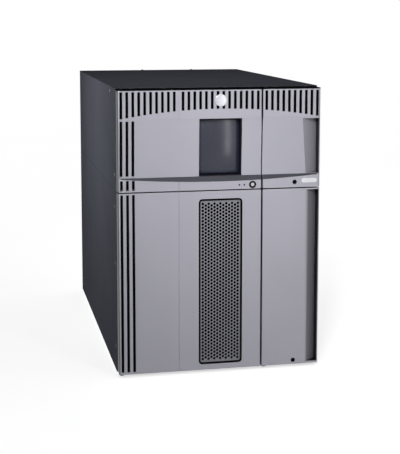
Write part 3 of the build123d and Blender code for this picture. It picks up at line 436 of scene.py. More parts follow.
class Finish:
    """A procedural finish in the making: its nodes, with short ways to add and join them."""

    def __init__(self, name):
        """Starts a material whose patterns lie on object coordinates."""
        self.material = bpy.data.materials.new(name)
        self.material.use_nodes = True
        self.tree = self.material.node_tree
        self.shader = self.tree.nodes["Principled BSDF"]
        coordinates = self.node("ShaderNodeTexCoord")
        self.place, self.normal = coordinates.outputs["Object"], coordinates.outputs["Normal"]

    def node(self, kind, inputs=None, **settings):
        """Adds a node to this finish."""
        return add_node(self.tree, kind, inputs, **settings)

    def join(self, source, socket):
        """Joins a socket to one of the shader's."""
        self.tree.links.new(source, self.shader.inputs[socket])

    def level(self, socket, value):
        """Sets one of the shader's sockets to one value all over."""
        self.shader.inputs[socket].default_value = value

    def stretched(self, scale):
        """Object coordinates stretched along the axes, for brushed metal."""
        return self.node("ShaderNodeMapping", {"Scale": scale, "Vector": self.place}).outputs["Vector"]

    def noise(self, size, detail=2.0, place=None):
        """Noise whose blobs are about size metres across."""
        inputs = {"Scale": 1 / size, "Detail": detail, "Vector": place or self.place}
        return self.node("ShaderNodeTexNoise", inputs).outputs["Fac"]

    def grains(self, size):
        """Rounded grains about size metres across, for powder coat and leather-grained plastic."""
        inputs = {"Scale": 1 / size, "Vector": self.place}
        return self.node("ShaderNodeTexVoronoi", inputs).outputs["Distance"]

    def spread(self, value, low, high, out_low=0.0, out_high=1.0):
        """Maps a value from one range to another, held at its ends."""
        inputs = {"From Min": low, "From Max": high, "To Min": out_low, "To Max": out_high, "Value": value}
        return self.node("ShaderNodeMapRange", inputs).outputs["Result"]

    def times(self, first, second):
        """The product of two values."""
        return self.node("ShaderNodeMath", {0: first, 1: second}, operation="MULTIPLY").outputs[0]

    def mixed(self, factor, first, second):
        """A colour between two, each a colour or a socket."""
        first, second = (
            colour if isinstance(colour, bpy.types.NodeSocket) else (*colour, 1.0)
            for colour in (first, second)
        )
        # Of the Mix node's sockets, inputs 6 and 7 and output 2 are the ones for colours
        inputs = {"Factor": factor, 6: first, 7: second}
        return self.node("ShaderNodeMix", inputs, data_type="RGBA").outputs[2]

    def edges(self, width):
        """1 on an edge and 0 on a flat: how far the normal leans once the edge is rounded to the width.

        The lean is a cosine, close to 1 on a flat.
        """
        rounded = self.node("ShaderNodeBevel", {"Radius": width}, samples=4).outputs["Normal"]
        flat = self.node("ShaderNodeNewGeometry").outputs["True Normal"]
        lean = self.node("ShaderNodeVectorMath", {0: rounded, 1: flat}, operation="DOT_PRODUCT")
        return self.spread(lean.outputs["Value"], 0.995, 0.8)

    def painted_shade_mask(self):
        """0 where the surface looks forwards (-Y) and 1 where it looks sideways or backwards: the mask of the
        doors' painted shade.
        """
        axes = self.node("ShaderNodeSeparateXYZ", {0: self.normal})
        return self.spread(axes.outputs["Y"], -0.96, -0.5)

    def beyond(self, centre, reach):
        """0 within the reach of the line through the centre from front to back, and 1 outside it."""
        inputs = {0: self.place, 1: (1, 0, 1), 2: (-centre[0], 0, -centre[2])}
        away = self.node("ShaderNodeVectorMath", inputs, operation="MULTIPLY_ADD").outputs["Vector"]
        length = self.node("ShaderNodeVectorMath", {0: away}, operation="LENGTH")
        return self.spread(length.outputs["Value"], reach, 1.08 * reach)

    def bump(self, height, depth):
        """A bump of the given depth in metres on the shader."""
        node = self.node("ShaderNodeBump", {"Strength": 1.0, "Distance": depth, "Height": height})
        self.join(node.outputs["Normal"], "Normal")

    def overlay(self, factor, colour):
        """Lays a colour over the base colour, as far as the factor says."""
        base = self.shader.inputs["Base Color"].links[0].from_socket
        self.join(self.mixed(factor, base, colour), "Base Color")

    def settle(self, colour, roughness, mottle, mottle_size, metallic=0.0, wear_and_highlight=None, worn_width=0.6 * MM):
        """Sets the shader: a colour that varies a little in clouds, fine roughness and edges of another
        colour, which are wear, and on the silver paint also a painted highlight.

        Mottle is the share by which the colour varies, and mottle_size the width of its clouds in metres.
        """
        base = np.array(colour)
        clouds = self.noise(mottle_size, 4.0)
        darker, lighter = tuple(base * (1 - mottle)), tuple(np.minimum(base * (1 + mottle), 1))
        tone = self.mixed(self.spread(clouds, 0.3, 0.7), darker, lighter)
        if wear_and_highlight is not None:
            patches = self.spread(self.noise(0.012, 3.0), 0.45, 0.65)
            tone = self.mixed(self.times(self.edges(worn_width), patches), tone, wear_and_highlight)
        self.join(tone, "Base Color")
        fine = self.spread(self.noise(0.004, 3.0), 0.25, 0.75, roughness - 0.05, roughness + 0.05)
        self.join(fine, "Roughness")
        self.level("Metallic", metallic)
        return self.material


def silver_paint(colour, shade_black):
    """Satin silver paint on the faces that look forwards, with fine flakes under a thin clear coat.

    Where the moulding turns away from the front, the silver gives way to black: painted shade on its side
    walls, in its slots, seams and grooves and inside.
    """
    finish = Finish("silver_paint")
    finish.bump(finish.noise(0.0012), 0.012 * MM)
    # The lighter edge colour is a painted highlight along the door edges, with some wear
    finish.settle(colour, 0.42, mottle=0.025, mottle_size=0.16, metallic=0.1, wear_and_highlight=shade(196, 196, 202))
    finish.level("Specular IOR Level", 0.35)
    finish.level("Coat Weight", 0.05)
    finish.level("Coat Roughness", 0.3)
    # Painted shade: black where the door surface turns away from the front, in slots, seams, grooves and on
    # side walls
    finish.overlay(finish.painted_shade_mask(), shade_black)
    return finish.material


def powder_coat(name, colour, roughness=0.5, grain=1.1 * MM, depth=0.05 * MM, wear_and_highlight=shade(120, 122, 128)):
    """Powder coat: small rounded grains and slightly rubbed-through corners."""
    finish = Finish(name)
    finish.bump(finish.grains(grain), depth)
    finish.level("Specular IOR Level", 0.0)
    return finish.settle(colour, roughness, mottle=0.04, mottle_size=0.12, wear_and_highlight=wear_and_highlight)


def zinc_plate(name, colour, roughness=0.34):
    """Bright zinc on sheet steel, with faint spangle and rolling marks."""
    finish = Finish(name)
    rolled = finish.noise(0.02, 3.0, finish.stretched((1.0, 0.08, 1.0)))
    finish.bump(rolled, 0.01 * MM)
    return finish.settle(
        colour, roughness, mottle=0.09, mottle_size=0.03, metallic=0.9, wear_and_highlight=shade(214, 216, 220)
    )


def brushed_aluminium(name, colour, scale, roughness=0.36):
    """Anodised aluminium with fine scratches along the axis whose scale is smallest."""
    finish = Finish(name)
    finish.bump(finish.noise(0.0016, 4.0, finish.stretched(scale)), 0.02 * MM)
    finish.level("Anisotropic", 0.4)
    return finish.settle(
        colour, roughness, mottle=0.05, mottle_size=0.05, metallic=0.85, wear_and_highlight=shade(226, 228, 232)
    )


def moulded_plastic(name, colour, roughness=0.5, grain=0.9 * MM, depth=0.03 * MM, gloss=0.15):
    """Moulded plastic with a fine spark-eroded grain and slightly polished edges."""
    finish = Finish(name)
    finish.bump(finish.grains(grain), depth)
    finish.level("Specular IOR Level", gloss)
    polished = tuple(min(c * 1.6 + 0.01, 1) for c in colour)
    return finish.settle(colour, roughness, mottle=0.06, mottle_size=0.06, wear_and_highlight=polished)


def smooth_plastic(name, colour, roughness):
    """Moulded plastic from a polished mould, whose grain is wide and hardly deep."""
    return moulded_plastic(name, colour, roughness, grain=4 * MM, depth=0.002 * MM)


def button_plastic(colour, rim, centre, reach):
    """A button cap with a light middle, out to the reach from its centre line, inside a black rim."""
    finish = Finish("button_cap")
    finish.bump(finish.grains(0.002), 0.006 * MM)
    finish.settle(colour, 0.32, mottle=0.06, mottle_size=0.06)
    finish.overlay(finish.beyond(centre, reach), rim)
    return finish.material


def polished_screen(colour):
    """Smoked touch screen: almost flat, very smooth, with the faint cloud of wiped glass."""
    finish = Finish("polished_screen")
    finish.bump(finish.noise(0.02), 0.01 * MM)
    finish.level("Specular IOR Level", 0.35)
    finish.level("Coat Weight", 0.2)
    finish.level("Coat Roughness", 0.12)
    return finish.settle(
        colour, 0.24, mottle=0.05, mottle_size=0.03, wear_and_highlight=shade(84, 86, 94), worn_width=0.5 * MM
    )


def moulded_rubber(colour):
    """Matt rubber with a faint bloom and moulding grain."""
    finish = Finish("moulded_rubber")
    finish.bump(finish.noise(0.0015, 3.0), 0.08 * MM)
    return finish.settle(colour, 0.82, mottle=0.16, mottle_size=0.015, wear_and_highlight=shade(60, 60, 62))


def open_foam(colour):
    """Open-cell foam: deep dark cells between soft walls."""
    finish = Finish("open_foam")
    finish.bump(finish.grains(0.0018), 0.5 * MM)
    finish.level("Specular IOR Level", 0.0)
    return finish.settle(colour, 0.95, mottle=0.2, mottle_size=0.01)


def label_paper(colour):
    """Uncoated label paper with fibres."""
    finish = Finish("label_paper")
    finish.bump(finish.noise(0.0006, 4.0, finish.stretched((1.0, 0.3, 1.0))), 0.02 * MM)
    return finish.settle(colour, 0.7, mottle=0.03, mottle_size=0.02, wear_and_highlight=shade(200, 198, 190))


def gold_contact(colour):
    """Gold-plated spring contacts."""
    finish = Finish("gold_contact")
    finish.bump(finish.noise(0.001), 0.004 * MM)
    return finish.settle(
        colour, 0.25, mottle=0.08, mottle_size=0.004, metallic=1.0, wear_and_highlight=shade(232, 204, 140)
    )


def dress(material, *nodes):
    """Gives CAD nodes a material."""
    for node in nodes:
        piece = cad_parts[node]
        piece.data.materials.clear()
        piece.data.materials.append(material)


def soften(width, *nodes):
    """Rounds CAD nodes' sharp edges: loose triangles are welded, flats are joined, edges are bevelled."""
    for node in nodes:
        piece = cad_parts[node]
        weld = piece.modifiers.new("weld", "WELD")
        weld.merge_threshold = 0.002 * MM
        flats = piece.modifiers.new("flats", "DECIMATE")
        flats.decimate_type = "DISSOLVE"
        flats.angle_limit = math.radians(0.5)
        edge = piece.modifiers.new("edge", "BEVEL")
        edge.width = width
        edge.segments = 2
        edge.limit_method = "ANGLE"
        edge.angle_limit = math.radians(38)


# ---------------------------------------------------------------- operators
class LibraryOperator(bpy.types.Operator):
    """Shared ways to the settings."""

    bl_options = {"REGISTER", "UNDO"}

    def colour(self, name):
        """One of the user's colours."""
        return tuple(getattr(bpy.context.scene.library_colours, name))

    @property
    def sizes(self):
        """The user's sizes."""
        return bpy.context.scene.library_sizes


class LIBRARY_OT_case(LibraryOperator):
    """Finishes the lid, side and rear panels, frames, shelf, brackets and feet"""

    bl_idname = "library.case"
    bl_label = "Case finishes"

    def execute(self, context):
        panels = ("lower_left_panel", "lower_right_panel", "upper_left_panel", "upper_right_panel",
                  "lower_rear_panel", "upper_rear_panel")
        black_steel = ("lower_front_frame", "upper_front_frame", "hinge_brackets")
        dress(powder_coat("side_coat", self.colour("side")), *panels)
        dress(powder_coat("cover_coat", self.colour("cover"), roughness=0.46), "top_cover")
        dress(powder_coat("black_coat", shade(14, 14, 15), roughness=0.55), *black_steel)
        dress(zinc_plate("zinc_sheet", shade(186, 188, 192)), "base_pan", "joint_frame", "drive_shelf")
        dress(moulded_rubber(shade(36, 36, 38)), "rubber_feet")
        soften(self.sizes.case_edge, *panels, *black_steel, "top_cover", "drive_shelf", "rubber_feet")
        return {"FINISHED"}


class LIBRARY_OT_doors(LibraryOperator):
    """Finishes the four doors and the black and dark grey pieces set into them; the dark grey of the sill
    trims is painted shade
    """

    bl_idname = "library.doors"
    bl_label = "Door finishes"

    def execute(self, context):
        doors = ("upper_access_door", "upper_io_door", "lower_access_door", "lower_io_door")
        inserts = ("upper_access_insert", "upper_io_insert")
        small = ("power_button_ring", "grille_frame", "upper_lock_plug", "lower_lock_plug")
        black = moulded_plastic("black_moulding", self.colour("black"), roughness=0.45, gloss=0.0)
        # Painted shade: the sill trims are dark grey where the upward-facing ledge under the door field lies
        # in shade
        charcoal = moulded_plastic("charcoal_trim", self.colour("charcoal"), roughness=0.4)
        tray = moulded_plastic("tray_plastic", self.colour("tray"), roughness=0.45, gloss=0.05)
        # The second colour is painted shade on the doors' side walls, slots and seams
        dress(silver_paint(self.colour("silver"), self.colour("black")), *doors)
        dress(black, *inserts, *small, "lower_access_liner")
        dress(charcoal, "upper_access_sill_trim", "upper_io_sill_trim")
        dress(tray, "panel_tray")
        dress(polished_screen(self.colour("screen")), "panel_lens")
        soften(self.sizes.door_edge, *doors)
        soften(self.sizes.case_edge, *inserts, *small, "panel_tray", "panel_lens")
        return {"FINISHED"}


class LIBRARY_OT_grille(LibraryOperator):
    """Makes the finely perforated sheet behind the grille's border ring, and the dust filter behind it"""

    bl_idname = "library.grille"
    bl_label = "Grille sheet"

    def execute(self, context):
        low, high = box("grille_mesh")
        sizes = self.sizes
        spans = (low[0], high[0]), (low[2], high[2])
        sheet = perforated(*spans, sizes.grille_border, sizes.hole_pitch, sizes.hole_radius)
        sheet[0][:, 1] = low[1]
        paint = powder_coat("grille_coat", self.colour("mesh"), roughness=0.45, grain=0.8 * MM,
                            depth=0.02 * MM, wear_and_highlight=shade(150, 151, 157))
        sheet_piece("grille_sheet", sheet, sizes.sheet, paint, "lower_access",
                    ("grille_mesh",))

        inset, thickness, gap = 1 * MM, 2.5 * MM, 3 * MM
        width, height = high[0] - low[0] - 2 * inset, high[2] - low[2] - 2 * inset
        pad = pillow(width, height, thickness, corner=0.8 * MM)
        pad = placed(pad, "front", back_middle(low, high) + (0, gap, 0))
        foam = open_foam(shade(9, 9, 10))
        new_piece("dust_filter", pad, foam, "lower_access", smooth=False)
        return {"FINISHED"}


class LIBRARY_OT_badges(LibraryOperator):
    """Makes the blank badge disc and the blank oval plate"""

    bl_idname = "library.badges"
    bl_label = "Blank plates"

    def execute(self, context):
        self.disc()
        self.plate()
        return {"FINISHED"}

    def disc(self):
        """A disc with a rounded lip, a groove inside it and a low dome."""
        metal = brushed_aluminium("badge_metal", self.colour("disc"), (1.0, 1.0, 14.0), roughness=0.3)
        low, high = box("round_badge")
        radius, height = (high[0] - low[0]) / 2, high[1] - low[1]
        rounding, lip_width, groove_width = 0.5 * MM, 1.4 * MM, 0.5 * MM
        lip = quarter_round(radius, 0.62 * height, rounding, rounding)
        dome_radius, dome_foot = radius - lip_width - groove_width, 0.66 * height
        dome = quarter_round(dome_radius, dome_foot, dome_radius, height - dome_foot, steps=12)
        profile = [(0, 0), (radius, 0), *lip, (radius - lip_width, lip[-1][1]), *dome]
        shape = placed(turned(profile, segments=72), "front", back_middle(low, high))
        new_piece("badge_disc", shape, metal, "upper_access", ("round_badge",))

    def plate(self):
        """An oval with a rounded lip, a channel inside it and a crowned middle."""
        enamel = moulded_plastic("plate_enamel", self.colour("plate"), roughness=0.28, grain=3 * MM,
                                 depth=0.004 * MM)
        low, high = box("oval_badge")
        radius, height = (high[2] - low[2]) / 2, high[1] - low[1]
        half_straight = (high[0] - low[0]) / 2 - radius
        lip = quarter_round(radius, 0.5 * height, 0.4 * height, 0.4 * height)
        channel = [(radius - 0.9 * MM, 0.9 * height), (radius - 1.2 * MM, 0.72 * height),
                   (radius - 1.6 * MM, 0.76 * height)]
        crown = [(0.4 * radius, 0.95 * height), (0, height)]
        profile = [(0, 0), (radius, 0), *lip, *channel, *crown]
        shape = placed(oblong(profile, half_straight, segments=20), "front", back_middle(low, high))
        new_piece("oval_plate", shape, enamel, "upper_io", ("oval_badge",))


class LIBRARY_OT_controls(LibraryOperator):
    """Makes the dished power button and the domed indicator lights"""

    bl_idname = "library.controls"
    bl_label = "Button and lights"

    def execute(self, context):
        self.button()
        self.lights()
        return {"FINISHED"}

    def button(self):
        """A cap with a rounded edge and a dished face, on a thinner stem.

        At the share p of its radius, the dish lies (1 - p^2) of its depth under the face.
        """
        low, high = box("power_button")
        radius, depth = (high[0] - low[0]) / 2, high[1] - low[1]
        cap, rounding, dish_depth = 4.4 * MM, 0.7 * MM, 0.6 * MM
        dish_radius, stem = radius - 1.1 * MM, radius / 2
        edge = quarter_round(radius, depth - rounding, rounding, rounding)
        part = np.linspace(1, 0, 8)
        dish = zip(part * dish_radius, depth - dish_depth * (1 - part * part))
        profile = [(0, 0), (stem, 0), (stem, depth - cap), (radius, depth - cap), *edge, *dish]
        spot = back_middle(low, high)
        finish = button_plastic(self.colour("button"), self.colour("black"), spot, 0.68 * radius)
        shape = placed(turned(profile, segments=48), "front", spot)
        new_piece("power_button_cap", shape, finish, "power_button", ("power_button",))

    def lights(self):
        """A light pipe with a low dome for each of the two lights."""
        pipes = solids("status_lights")
        low, high = pipes[0]
        radius, depth = (high[0] - low[0]) / 2, high[1] - low[1]
        rise = 0.5 * MM
        dome = quarter_round(radius, depth - rise, radius, rise, steps=8)
        tinted = smooth_plastic("light_pipe", shade(44, 52, 46), roughness=0.18)
        spots = [back_middle(*pipe) for pipe in pipes]
        shape = copies(turned([(0, 0), (radius, 0), *dome], segments=24), "front", spots)
        new_piece("indicator_domes", shape, tinted, "upper_access", ("status_lights",))


class LIBRARY_OT_screws(LibraryOperator):
    """Makes the screw heads on the side panels and on the lid"""

    bl_idname = "library.screws"
    bl_label = "Screw heads"

    def execute(self, context):
        spots = {"left": [], "right": [], "up": []}
        for low, high in solids("panel_screws"):
            middle, size = (low + high) / 2, high - low
            if size[0] > size[2]:
                spots["up"].append((middle[0], middle[1], low[2]))
                lid_head = self.head(size[2], size[0] / 2)
            elif middle[0] < 0:
                spots["left"].append((high[0], middle[1], middle[2]))
                side_head = self.head(size[0], size[1] / 2)
            else:
                spots["right"].append((low[0], middle[1], middle[2]))
        heads = {"left": side_head, "right": side_head, "up": lid_head}
        shape = joined([copies(heads[facing], facing, spots[facing]) for facing in spots])
        plated = zinc_plate("dark_plated", shade(96, 97, 102), roughness=0.4)
        new_piece("screw_heads", shape, plated, "chassis", ("panel_screws",))
        return {"FINISHED"}

    def head(self, height, reach):
        """A domed head with a hexagonal socket.

        The dome's profile is (r (0.55 + 0.45 cos t), h (0.45 + 0.55 sin t)), for t from 0 to 63 degrees. In
        the socket, cos 30 / cos (a mod 60 - 30) scales each radius, which turns a circle into a hexagon.
        """
        segments = 36
        radius = 0.98 * reach
        socket, floor = 0.5 * radius, 0.3 * height
        t = np.linspace(0, 1.1, 6)
        dome = zip(radius * (0.55 + 0.45 * np.cos(t)), height * (0.45 + 0.55 * np.sin(t)))
        outside = [(0, 0), (radius, 0), *dome]
        profile = [*outside, (socket, height), (socket, 0.35 * height), (0, floor)]
        angle = np.arange(segments) * 2 * np.pi / segments
        wobble = np.ones((len(profile), segments))
        wobble[len(outside):] = math.cos(math.pi / 6) / np.cos((angle % (np.pi / 3)) - np.pi / 6)
        return turned(profile, segments, wobble)


class LIBRARY_OT_storage(LibraryOperator):
    """Finishes the magazines and cartridges and makes the blank cartridge labels"""

    bl_idname = "library.storage"
    bl_label = "Storage"

    def execute(self, context):
        magazines = moulded_plastic("magazine_moulding", shade(84, 85, 88), roughness=0.55)
        shell = moulded_plastic("cartridge_shell", shade(58, 62, 74), grain=1.4 * MM, depth=0.05 * MM)
        dress(magazines, "left_lower_magazines", "right_lower_magazines", "left_upper_magazines",
              "right_upper_magazines", "upper_io_magazine", "lower_io_magazine")
        dress(shell, "stored_cartridges")
        sizes = self.sizes
        label = pillow(sizes.label_length, sizes.label_height, height=0.25 * MM, corner=0.8 * MM)
        left, right = [], []
        for low, high in solids("stored_cartridges"):
            middle = (low + high) / 2
            if middle[0] < 0:
                left.append((high[0], middle[1], middle[2]))
            else:
                right.append((low[0], middle[1], middle[2]))
        shape = joined([copies(label, "right", left), copies(label, "left", right)])
        new_piece("cartridge_labels", shape, label_paper(shade(222, 220, 212)), "chassis")
        return {"FINISHED"}


class LIBRARY_OT_robot(LibraryOperator):
    """Finishes the rails, lift, carriage, turret, gripper and scanner, and makes the scanner's window"""

    bl_idname = "library.robot"
    bl_label = "Robot"

    def execute(self, context):
        upright = brushed_aluminium("rail_metal", shade(196, 198, 202), (8.0, 8.0, 0.4))
        along = brushed_aluminium("beam_metal", shade(190, 192, 198), (8.0, 0.4, 8.0))
        steel = zinc_plate("ground_steel", shade(176, 178, 182), roughness=0.28)
        light = moulded_plastic("robot_moulding", shade(176, 178, 184), roughness=0.45)
        dark = moulded_plastic("gripper_moulding", shade(92, 94, 98))
        can = powder_coat("motor_coat", shade(48, 49, 52), roughness=0.4)
        dress(upright, "front_lift_rail", "rear_lift_rail")
        dress(along, "lift_beam")
        dress(steel, "lift_shaft")
        dress(light, "picker_carriage", "picker_turret")
        dress(dark, "gripper", "bar_code_scanner")
        dress(can, "lift_motor")
        soften(self.sizes.case_edge, "lift_beam", "picker_carriage", "picker_turret", "gripper",
               "bar_code_scanner", "lift_motor")
        low, high = box("bar_code_scanner")
        size, sunk = high - low, 3.0 * MM
        window = pillow(0.5 * size[0], 0.4 * size[2], height=0.6 * MM, corner=1.2 * MM)
        window = placed(window, "back", back_middle(low, high) - (0, sunk, 0))
        glass = smooth_plastic("scanner_glass", shade(70, 20, 24), roughness=0.12)
        new_piece("scanner_window", window, glass, "turret")
        return {"FINISHED"}


class LIBRARY_OT_rear_units(LibraryOperator):
    """Finishes the plug-in units and makes their fan guards, inlet pins, contacts, thumb screws and lights"""

    bl_idname = "library.rear_units"
    bl_label = "Rear units"

    def execute(self, context):
        self.zinc = zinc_plate("unit_zinc", shade(182, 184, 188))
        self.wire = zinc_plate("guard_wire", shade(150, 152, 156), roughness=0.25)
        self.knurled = brushed_aluminium("thumb_screw_metal", shade(186, 188, 192), (1.0, 12.0, 1.0),
                                         roughness=0.3)
        self.gold = gold_contact(shade(214, 176, 96))
        self.green = smooth_plastic("unit_light", shade(70, 120, 84), roughness=0.2)
        black = moulded_plastic("fan_moulding", shade(30, 30, 32), roughness=0.45)
        units = [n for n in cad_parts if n.startswith(("drive_sled", "power_supply", "control_blade"))]
        dress(self.zinc, *units)
        soften(self.sizes.case_edge, *units)
        dress(black, "power_fan_1", "power_fan_2")
        for number in (1, 2):
            self.supply_details(number)
        for number in (1, 2, 3):
            self.sled_details(number)
        self.blade_details()
        return {"FINISHED"}

    def face(self, node):
        """A unit's low and high corner, and the Y of its face, which stands 1.8 mm behind the lid."""
        low, high = box(node)
        handle = cad_high[1] - (box("top_cover")[1][1] + 1.8 * MM)
        return low, high, high[1] - handle

    def thumb_screws(self, name, body, spots):
        """Knurled heads: a turned profile, in millimetres, whose radius swings by 5% twenty times round."""
        segments = 60
        profile = [(0, 0), (2.6, 0), (2.6, 1.0), (4.0, 1.4), (4.3, 2.0), (4.3, 5.4), (3.9, 6.0), (2.4, 6.0),
                   (2.2, 5.6), (0, 5.5)]
        angle = np.arange(segments) * 2 * np.pi / segments
        wobble = np.ones((len(profile), segments))
        wobble[3:7] += 0.05 * np.cos(20 * angle)
        shape = turned(np.array(profile) * MM, segments, wobble)
        new_piece(name, copies(shape, "back", spots), self.knurled, body)

    def light_domes(self, name, body, spots):
        """Small domed lights on a unit's face."""
        radius, rise = 1.5 * MM, 0.9 * MM
        shape = turned([(0, 0), *quarter_round(radius, 0, radius, rise, steps=7)], segments=20)
        new_piece(name, copies(shape, "back", spots), self.green, body)

    def contacts(self, name, body, shape, spots):
        """Gold contacts in a unit's socket."""
        new_piece(name, copies(shape, "back", spots), self.gold, body)

    def supply_details(self, number):
        """A wire guard over the fan, three flat inlet pins, thumb screws and a light."""
        low, high, y = self.face(f"power_supply_{number}")
        body = f"supply_{number}"
        fan_low, fan_high = box(f"power_fan_{number}")
        fan = (fan_low + fan_high) / 2
        wire = self.sizes.guard_wire / 2
        guard_radius = 22.0 * MM
        wires = [ring(guard_radius * part, wire) for part in (0.28, 0.52, 0.76, 1.0)]
        for turn in np.radians((45, 135, 225, 315)):
            outwards = guard_radius * np.array((math.cos(turn), math.sin(turn), 0))
            above = np.array((0, 0, 1.6 * wire))
            wires.append(rod(0.2 * outwards + above, 1.16 * outwards + above, wire))
        guard = placed(joined(wires), "back", (fan[0], y + wire, fan[2]))
        new_piece(f"fan_guard_{number}", guard, self.wire, body)

        inlet_x, inlet_z = low[0] + 77.75 * MM, (low[2] + high[2]) / 2 - 2 * MM
        inlet_floor = y - 16.2 * MM
        pin = pillow(length=2.2 * MM, width=5.0 * MM, height=12 * MM, corner=0.9 * MM, steps=7)
        spots = [(inlet_x + across * MM, inlet_floor, inlet_z + up * MM)
                 for across, up in ((-7, -2), (7, -2), (0, 2))]
        new_piece(f"inlet_pins_{number}", copies(pin, "back", spots), self.zinc, body)
        self.thumb_screws(f"supply_screws_{number}", body, [(high[0] - 10 * MM, y, low[2] + 8 * MM),
                                                            (low[0] + 8 * MM, y, high[2] - 6 * MM)])
        self.light_domes(f"supply_lights_{number}", body, [(high[0] - 32 * MM, y, high[2] - 10 * MM)])

    def sled_details(self, number):
        """A perforated vent plate, thumb screws, two lights and gold contacts in the socket."""
        low, high, y = self.face(f"drive_sled_{number}")
        body = f"sled_{number}"
        dark = powder_coat(f"vent_coat_{number}", shade(66, 67, 70))
        border = 18 * MM
        vent_x, vent_z = (-10 * MM, 32 * MM), (low[2] + border, high[2] - border)
        points, faces = perforated(vent_x, vent_z, margin=2 * MM, pitch=5 * MM, radius=1.6 * MM)
        # Mirrored about its own middle, so that it faces the back
        points[:, 0] = sum(vent_x) - points[:, 0]
        points[:, 1] = y + 0.9 * MM
        sheet_piece(f"sled_vent_{number}", (points, faces), 0.8 * MM, dark, body)

        middle = (low[2] + high[2]) / 2
        self.thumb_screws(f"sled_screws_{number}", body, [(low[0] + 9 * MM, y, middle),
                                                          (high[0] - 9 * MM, y, middle)])
        lights = [(x * MM, y, high[2] - 22 * MM) for x in (-50, -42)]
        self.light_domes(f"sled_lights_{number}", body, lights)
        contact = pillow(length=0.9 * MM, width=9 * MM, height=2.4 * MM, corner=0.35 * MM)
        socket_floor, socket_middle = y - 6 * MM, middle - 2 * MM
        spots = [(x * MM, socket_floor, socket_middle) for x in np.linspace(-52, -23, 14)]
        self.contacts(f"sled_contacts_{number}", body, contact, spots)

    def blade_details(self):
        """Gold contacts in the three sockets, two thumb screws and a row of lights."""
        low, high, y = self.face("control_blade")
        left, middle, socket_floor = low[0] + 4 * MM, low[2] + 20 * MM, y - 10 * MM
        contact = pillow(length=0.6 * MM, width=6 * MM, height=4.5 * MM, corner=0.25 * MM)
        spots = [(left + (socket + offset) * MM, socket_floor, middle)
                 for socket in (19.5, 41.5, 63.5) for offset in np.linspace(-5, 5, 8)]
        self.contacts("blade_contacts", "blade", contact, spots)
        self.thumb_screws("blade_screws", "blade", [(low[0] + 7 * MM, y, middle),
                                                    (high[0] - 7 * MM, y, middle)])
        self.light_domes("blade_lights", "blade", [(left + x * MM, y, middle + 9 * MM) for x in (80, 85)])


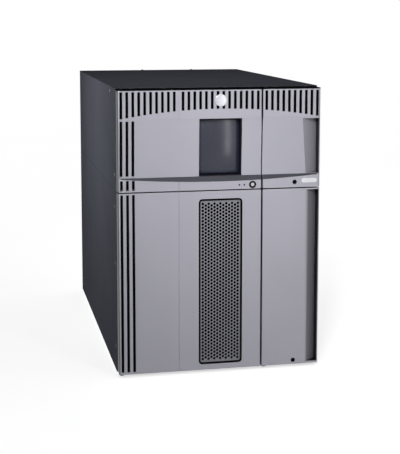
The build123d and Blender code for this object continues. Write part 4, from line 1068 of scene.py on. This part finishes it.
class LIBRARY_OT_stage(LibraryOperator):
    """Makes the floor, the lights, the room light and the camera"""

    bl_idname = "library.stage"
    bl_label = "Stage"

    def execute(self, context):
        settings = context.scene.library_stage
        self.floor()
        self.room(settings.room)
        self.lamps(settings)
        self.camera(settings)
        context.scene.view_settings.view_transform = "Standard"
        return {"FINISHED"}

    def floor(self):
        """A pale disc under the object, wide enough to meet the room's white."""
        points, faces = turned([(radius, 0) for radius in (0, 1, 3, 9)], segments=64)
        mesh = bpy.data.meshes.new("floor")
        mesh.from_pydata(points.tolist(), [], faces.tolist())
        floor = bpy.data.objects.new("floor", mesh)
        bpy.context.scene.collection.objects.link(floor)
        finish = Finish("pale_floor")
        finish.settle(shade(246, 246, 246), 0.8, mottle=0.01, mottle_size=0.8)
        finish.level("Specular IOR Level", 0.1)
        finish.level("Emission Color", (1, 1, 1, 1))
        finish.join(self.seen(finish.tree, hidden=0.0, shown=0.62), "Emission Strength")
        mesh.materials.append(finish.material)

    def seen(self, tree, hidden, shown):
        """One strength where the camera, a reflection or a transmitted ray sees it, and another elsewhere."""
        path = add_node(tree, "ShaderNodeLightPath").outputs
        seen = path["Is Camera Ray"]
        for name in ("Is Glossy Ray", "Is Transmission Ray"):
            seen = add_node(tree, "ShaderNodeMath", {0: seen, 1: path[name]}, operation="MAXIMUM").outputs[0]
        inputs = {"To Min": hidden, "To Max": shown, "Value": seen}
        return add_node(tree, "ShaderNodeMapRange", inputs).outputs["Result"]

    def room(self, strength):
        """Even light all round, and plain white where it is seen."""
        world = bpy.data.worlds.new("room")
        world.use_nodes = True
        background = world.node_tree.nodes["Background"]
        background.inputs["Color"].default_value = (1, 1, 1, 1)
        seen = self.seen(world.node_tree, hidden=strength, shown=1.0)
        world.node_tree.links.new(seen, background.inputs["Strength"])
        bpy.context.scene.world = world

    def lamps(self, settings):
        """A key light on the header, a fill light on the side's top and an upright strip on the whole."""
        middle = Vector((cad_low + cad_high) / 2)
        header = Vector((middle.x, cad_low[1], 0.85 * cad_high[2]))
        flank = Vector((cad_low[0], middle.y, 0.96 * cad_high[2]))
        self.lamp("key_light", settings.key, header, place=(-0.6, -2.0, 1.5), size=(0.45, 0.45), spread=30)
        self.lamp("fill_light", settings.fill, flank, place=(-1.4, -0.3, 1.0), size=(0.5, 0.5), spread=40)
        self.lamp("strip_light", settings.strip, middle, place=(0.75, -2.2, 0.6), size=(0.2, 1.8))

    def lamp(self, name, energy, target, place, size, spread=180):
        """A soft light of a width and height that faces its target, with its spread in degrees."""
        data = bpy.data.lights.new(name, "AREA")
        data.shape = "RECTANGLE"
        data.size, data.size_y = size
        data.energy = energy
        data.spread = math.radians(spread)
        lamp = bpy.data.objects.new(name, data)
        lamp.location = place
        lamp.rotation_euler = (target - lamp.location).to_track_quat("-Z", "Y").to_euler()
        bpy.context.scene.collection.objects.link(lamp)

    def camera(self, settings):
        """The camera, upright, turned to the right and tilted down."""
        data = bpy.data.cameras.new("camera")
        data.lens = settings.lens
        data.shift_y = -settings.shift
        camera = bpy.data.objects.new("camera", data)
        camera.location = settings.camera_place
        camera.rotation_euler = (math.pi / 2 - settings.tilt, 0, -settings.turn)
        bpy.context.scene.collection.objects.link(camera)
        bpy.context.scene.camera = camera


class LIBRARY_PT_panel(bpy.types.Panel):
    """Lists the operators and settings of the tape library."""

    bl_idname = "LIBRARY_PT_panel"
    bl_label = "Tape Library"
    bl_space_type = "VIEW_3D"
    bl_region_type = "UI"
    bl_category = "Tape Library"

    def draw(self, context):
        for operator in OPERATORS:
            self.layout.operator(operator.bl_idname)
        for group in GROUPS:
            settings = getattr(context.scene, group)
            column = self.layout.column()
            for name in settings.bl_rna.properties.keys():
                if name not in ("rna_type", "name"):
                    column.prop(settings, name)


OPERATORS = (
    LIBRARY_OT_case,
    LIBRARY_OT_doors,
    LIBRARY_OT_grille,
    LIBRARY_OT_badges,
    LIBRARY_OT_controls,
    LIBRARY_OT_screws,
    LIBRARY_OT_storage,
    LIBRARY_OT_robot,
    LIBRARY_OT_rear_units,
    LIBRARY_OT_stage,
)
GROUPS = {
    "library_colours": LibraryColours,
    "library_sizes": LibrarySizes,
    "library_stage": LibraryStage,
}
CLASSES = (*GROUPS.values(), *OPERATORS, LIBRARY_PT_panel)


def register():
    """Registers the classes and hangs the settings on the scene."""
    for cls in CLASSES:
        bpy.utils.register_class(cls)
    for name, group in GROUPS.items():
        setattr(bpy.types.Scene, name, bpy.props.PointerProperty(type=group))


def unregister():
    """Takes everything that register added away again."""
    for name in GROUPS:
        delattr(bpy.types.Scene, name)
    for cls in reversed(CLASSES):
        bpy.utils.unregister_class(cls)


def main():
    """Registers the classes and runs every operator."""
    register()
    for operator in OPERATORS:
        group, name = operator.bl_idname.split(".")
        getattr(getattr(bpy.ops, group), name)()


if __name__ == "__main__":
    main()
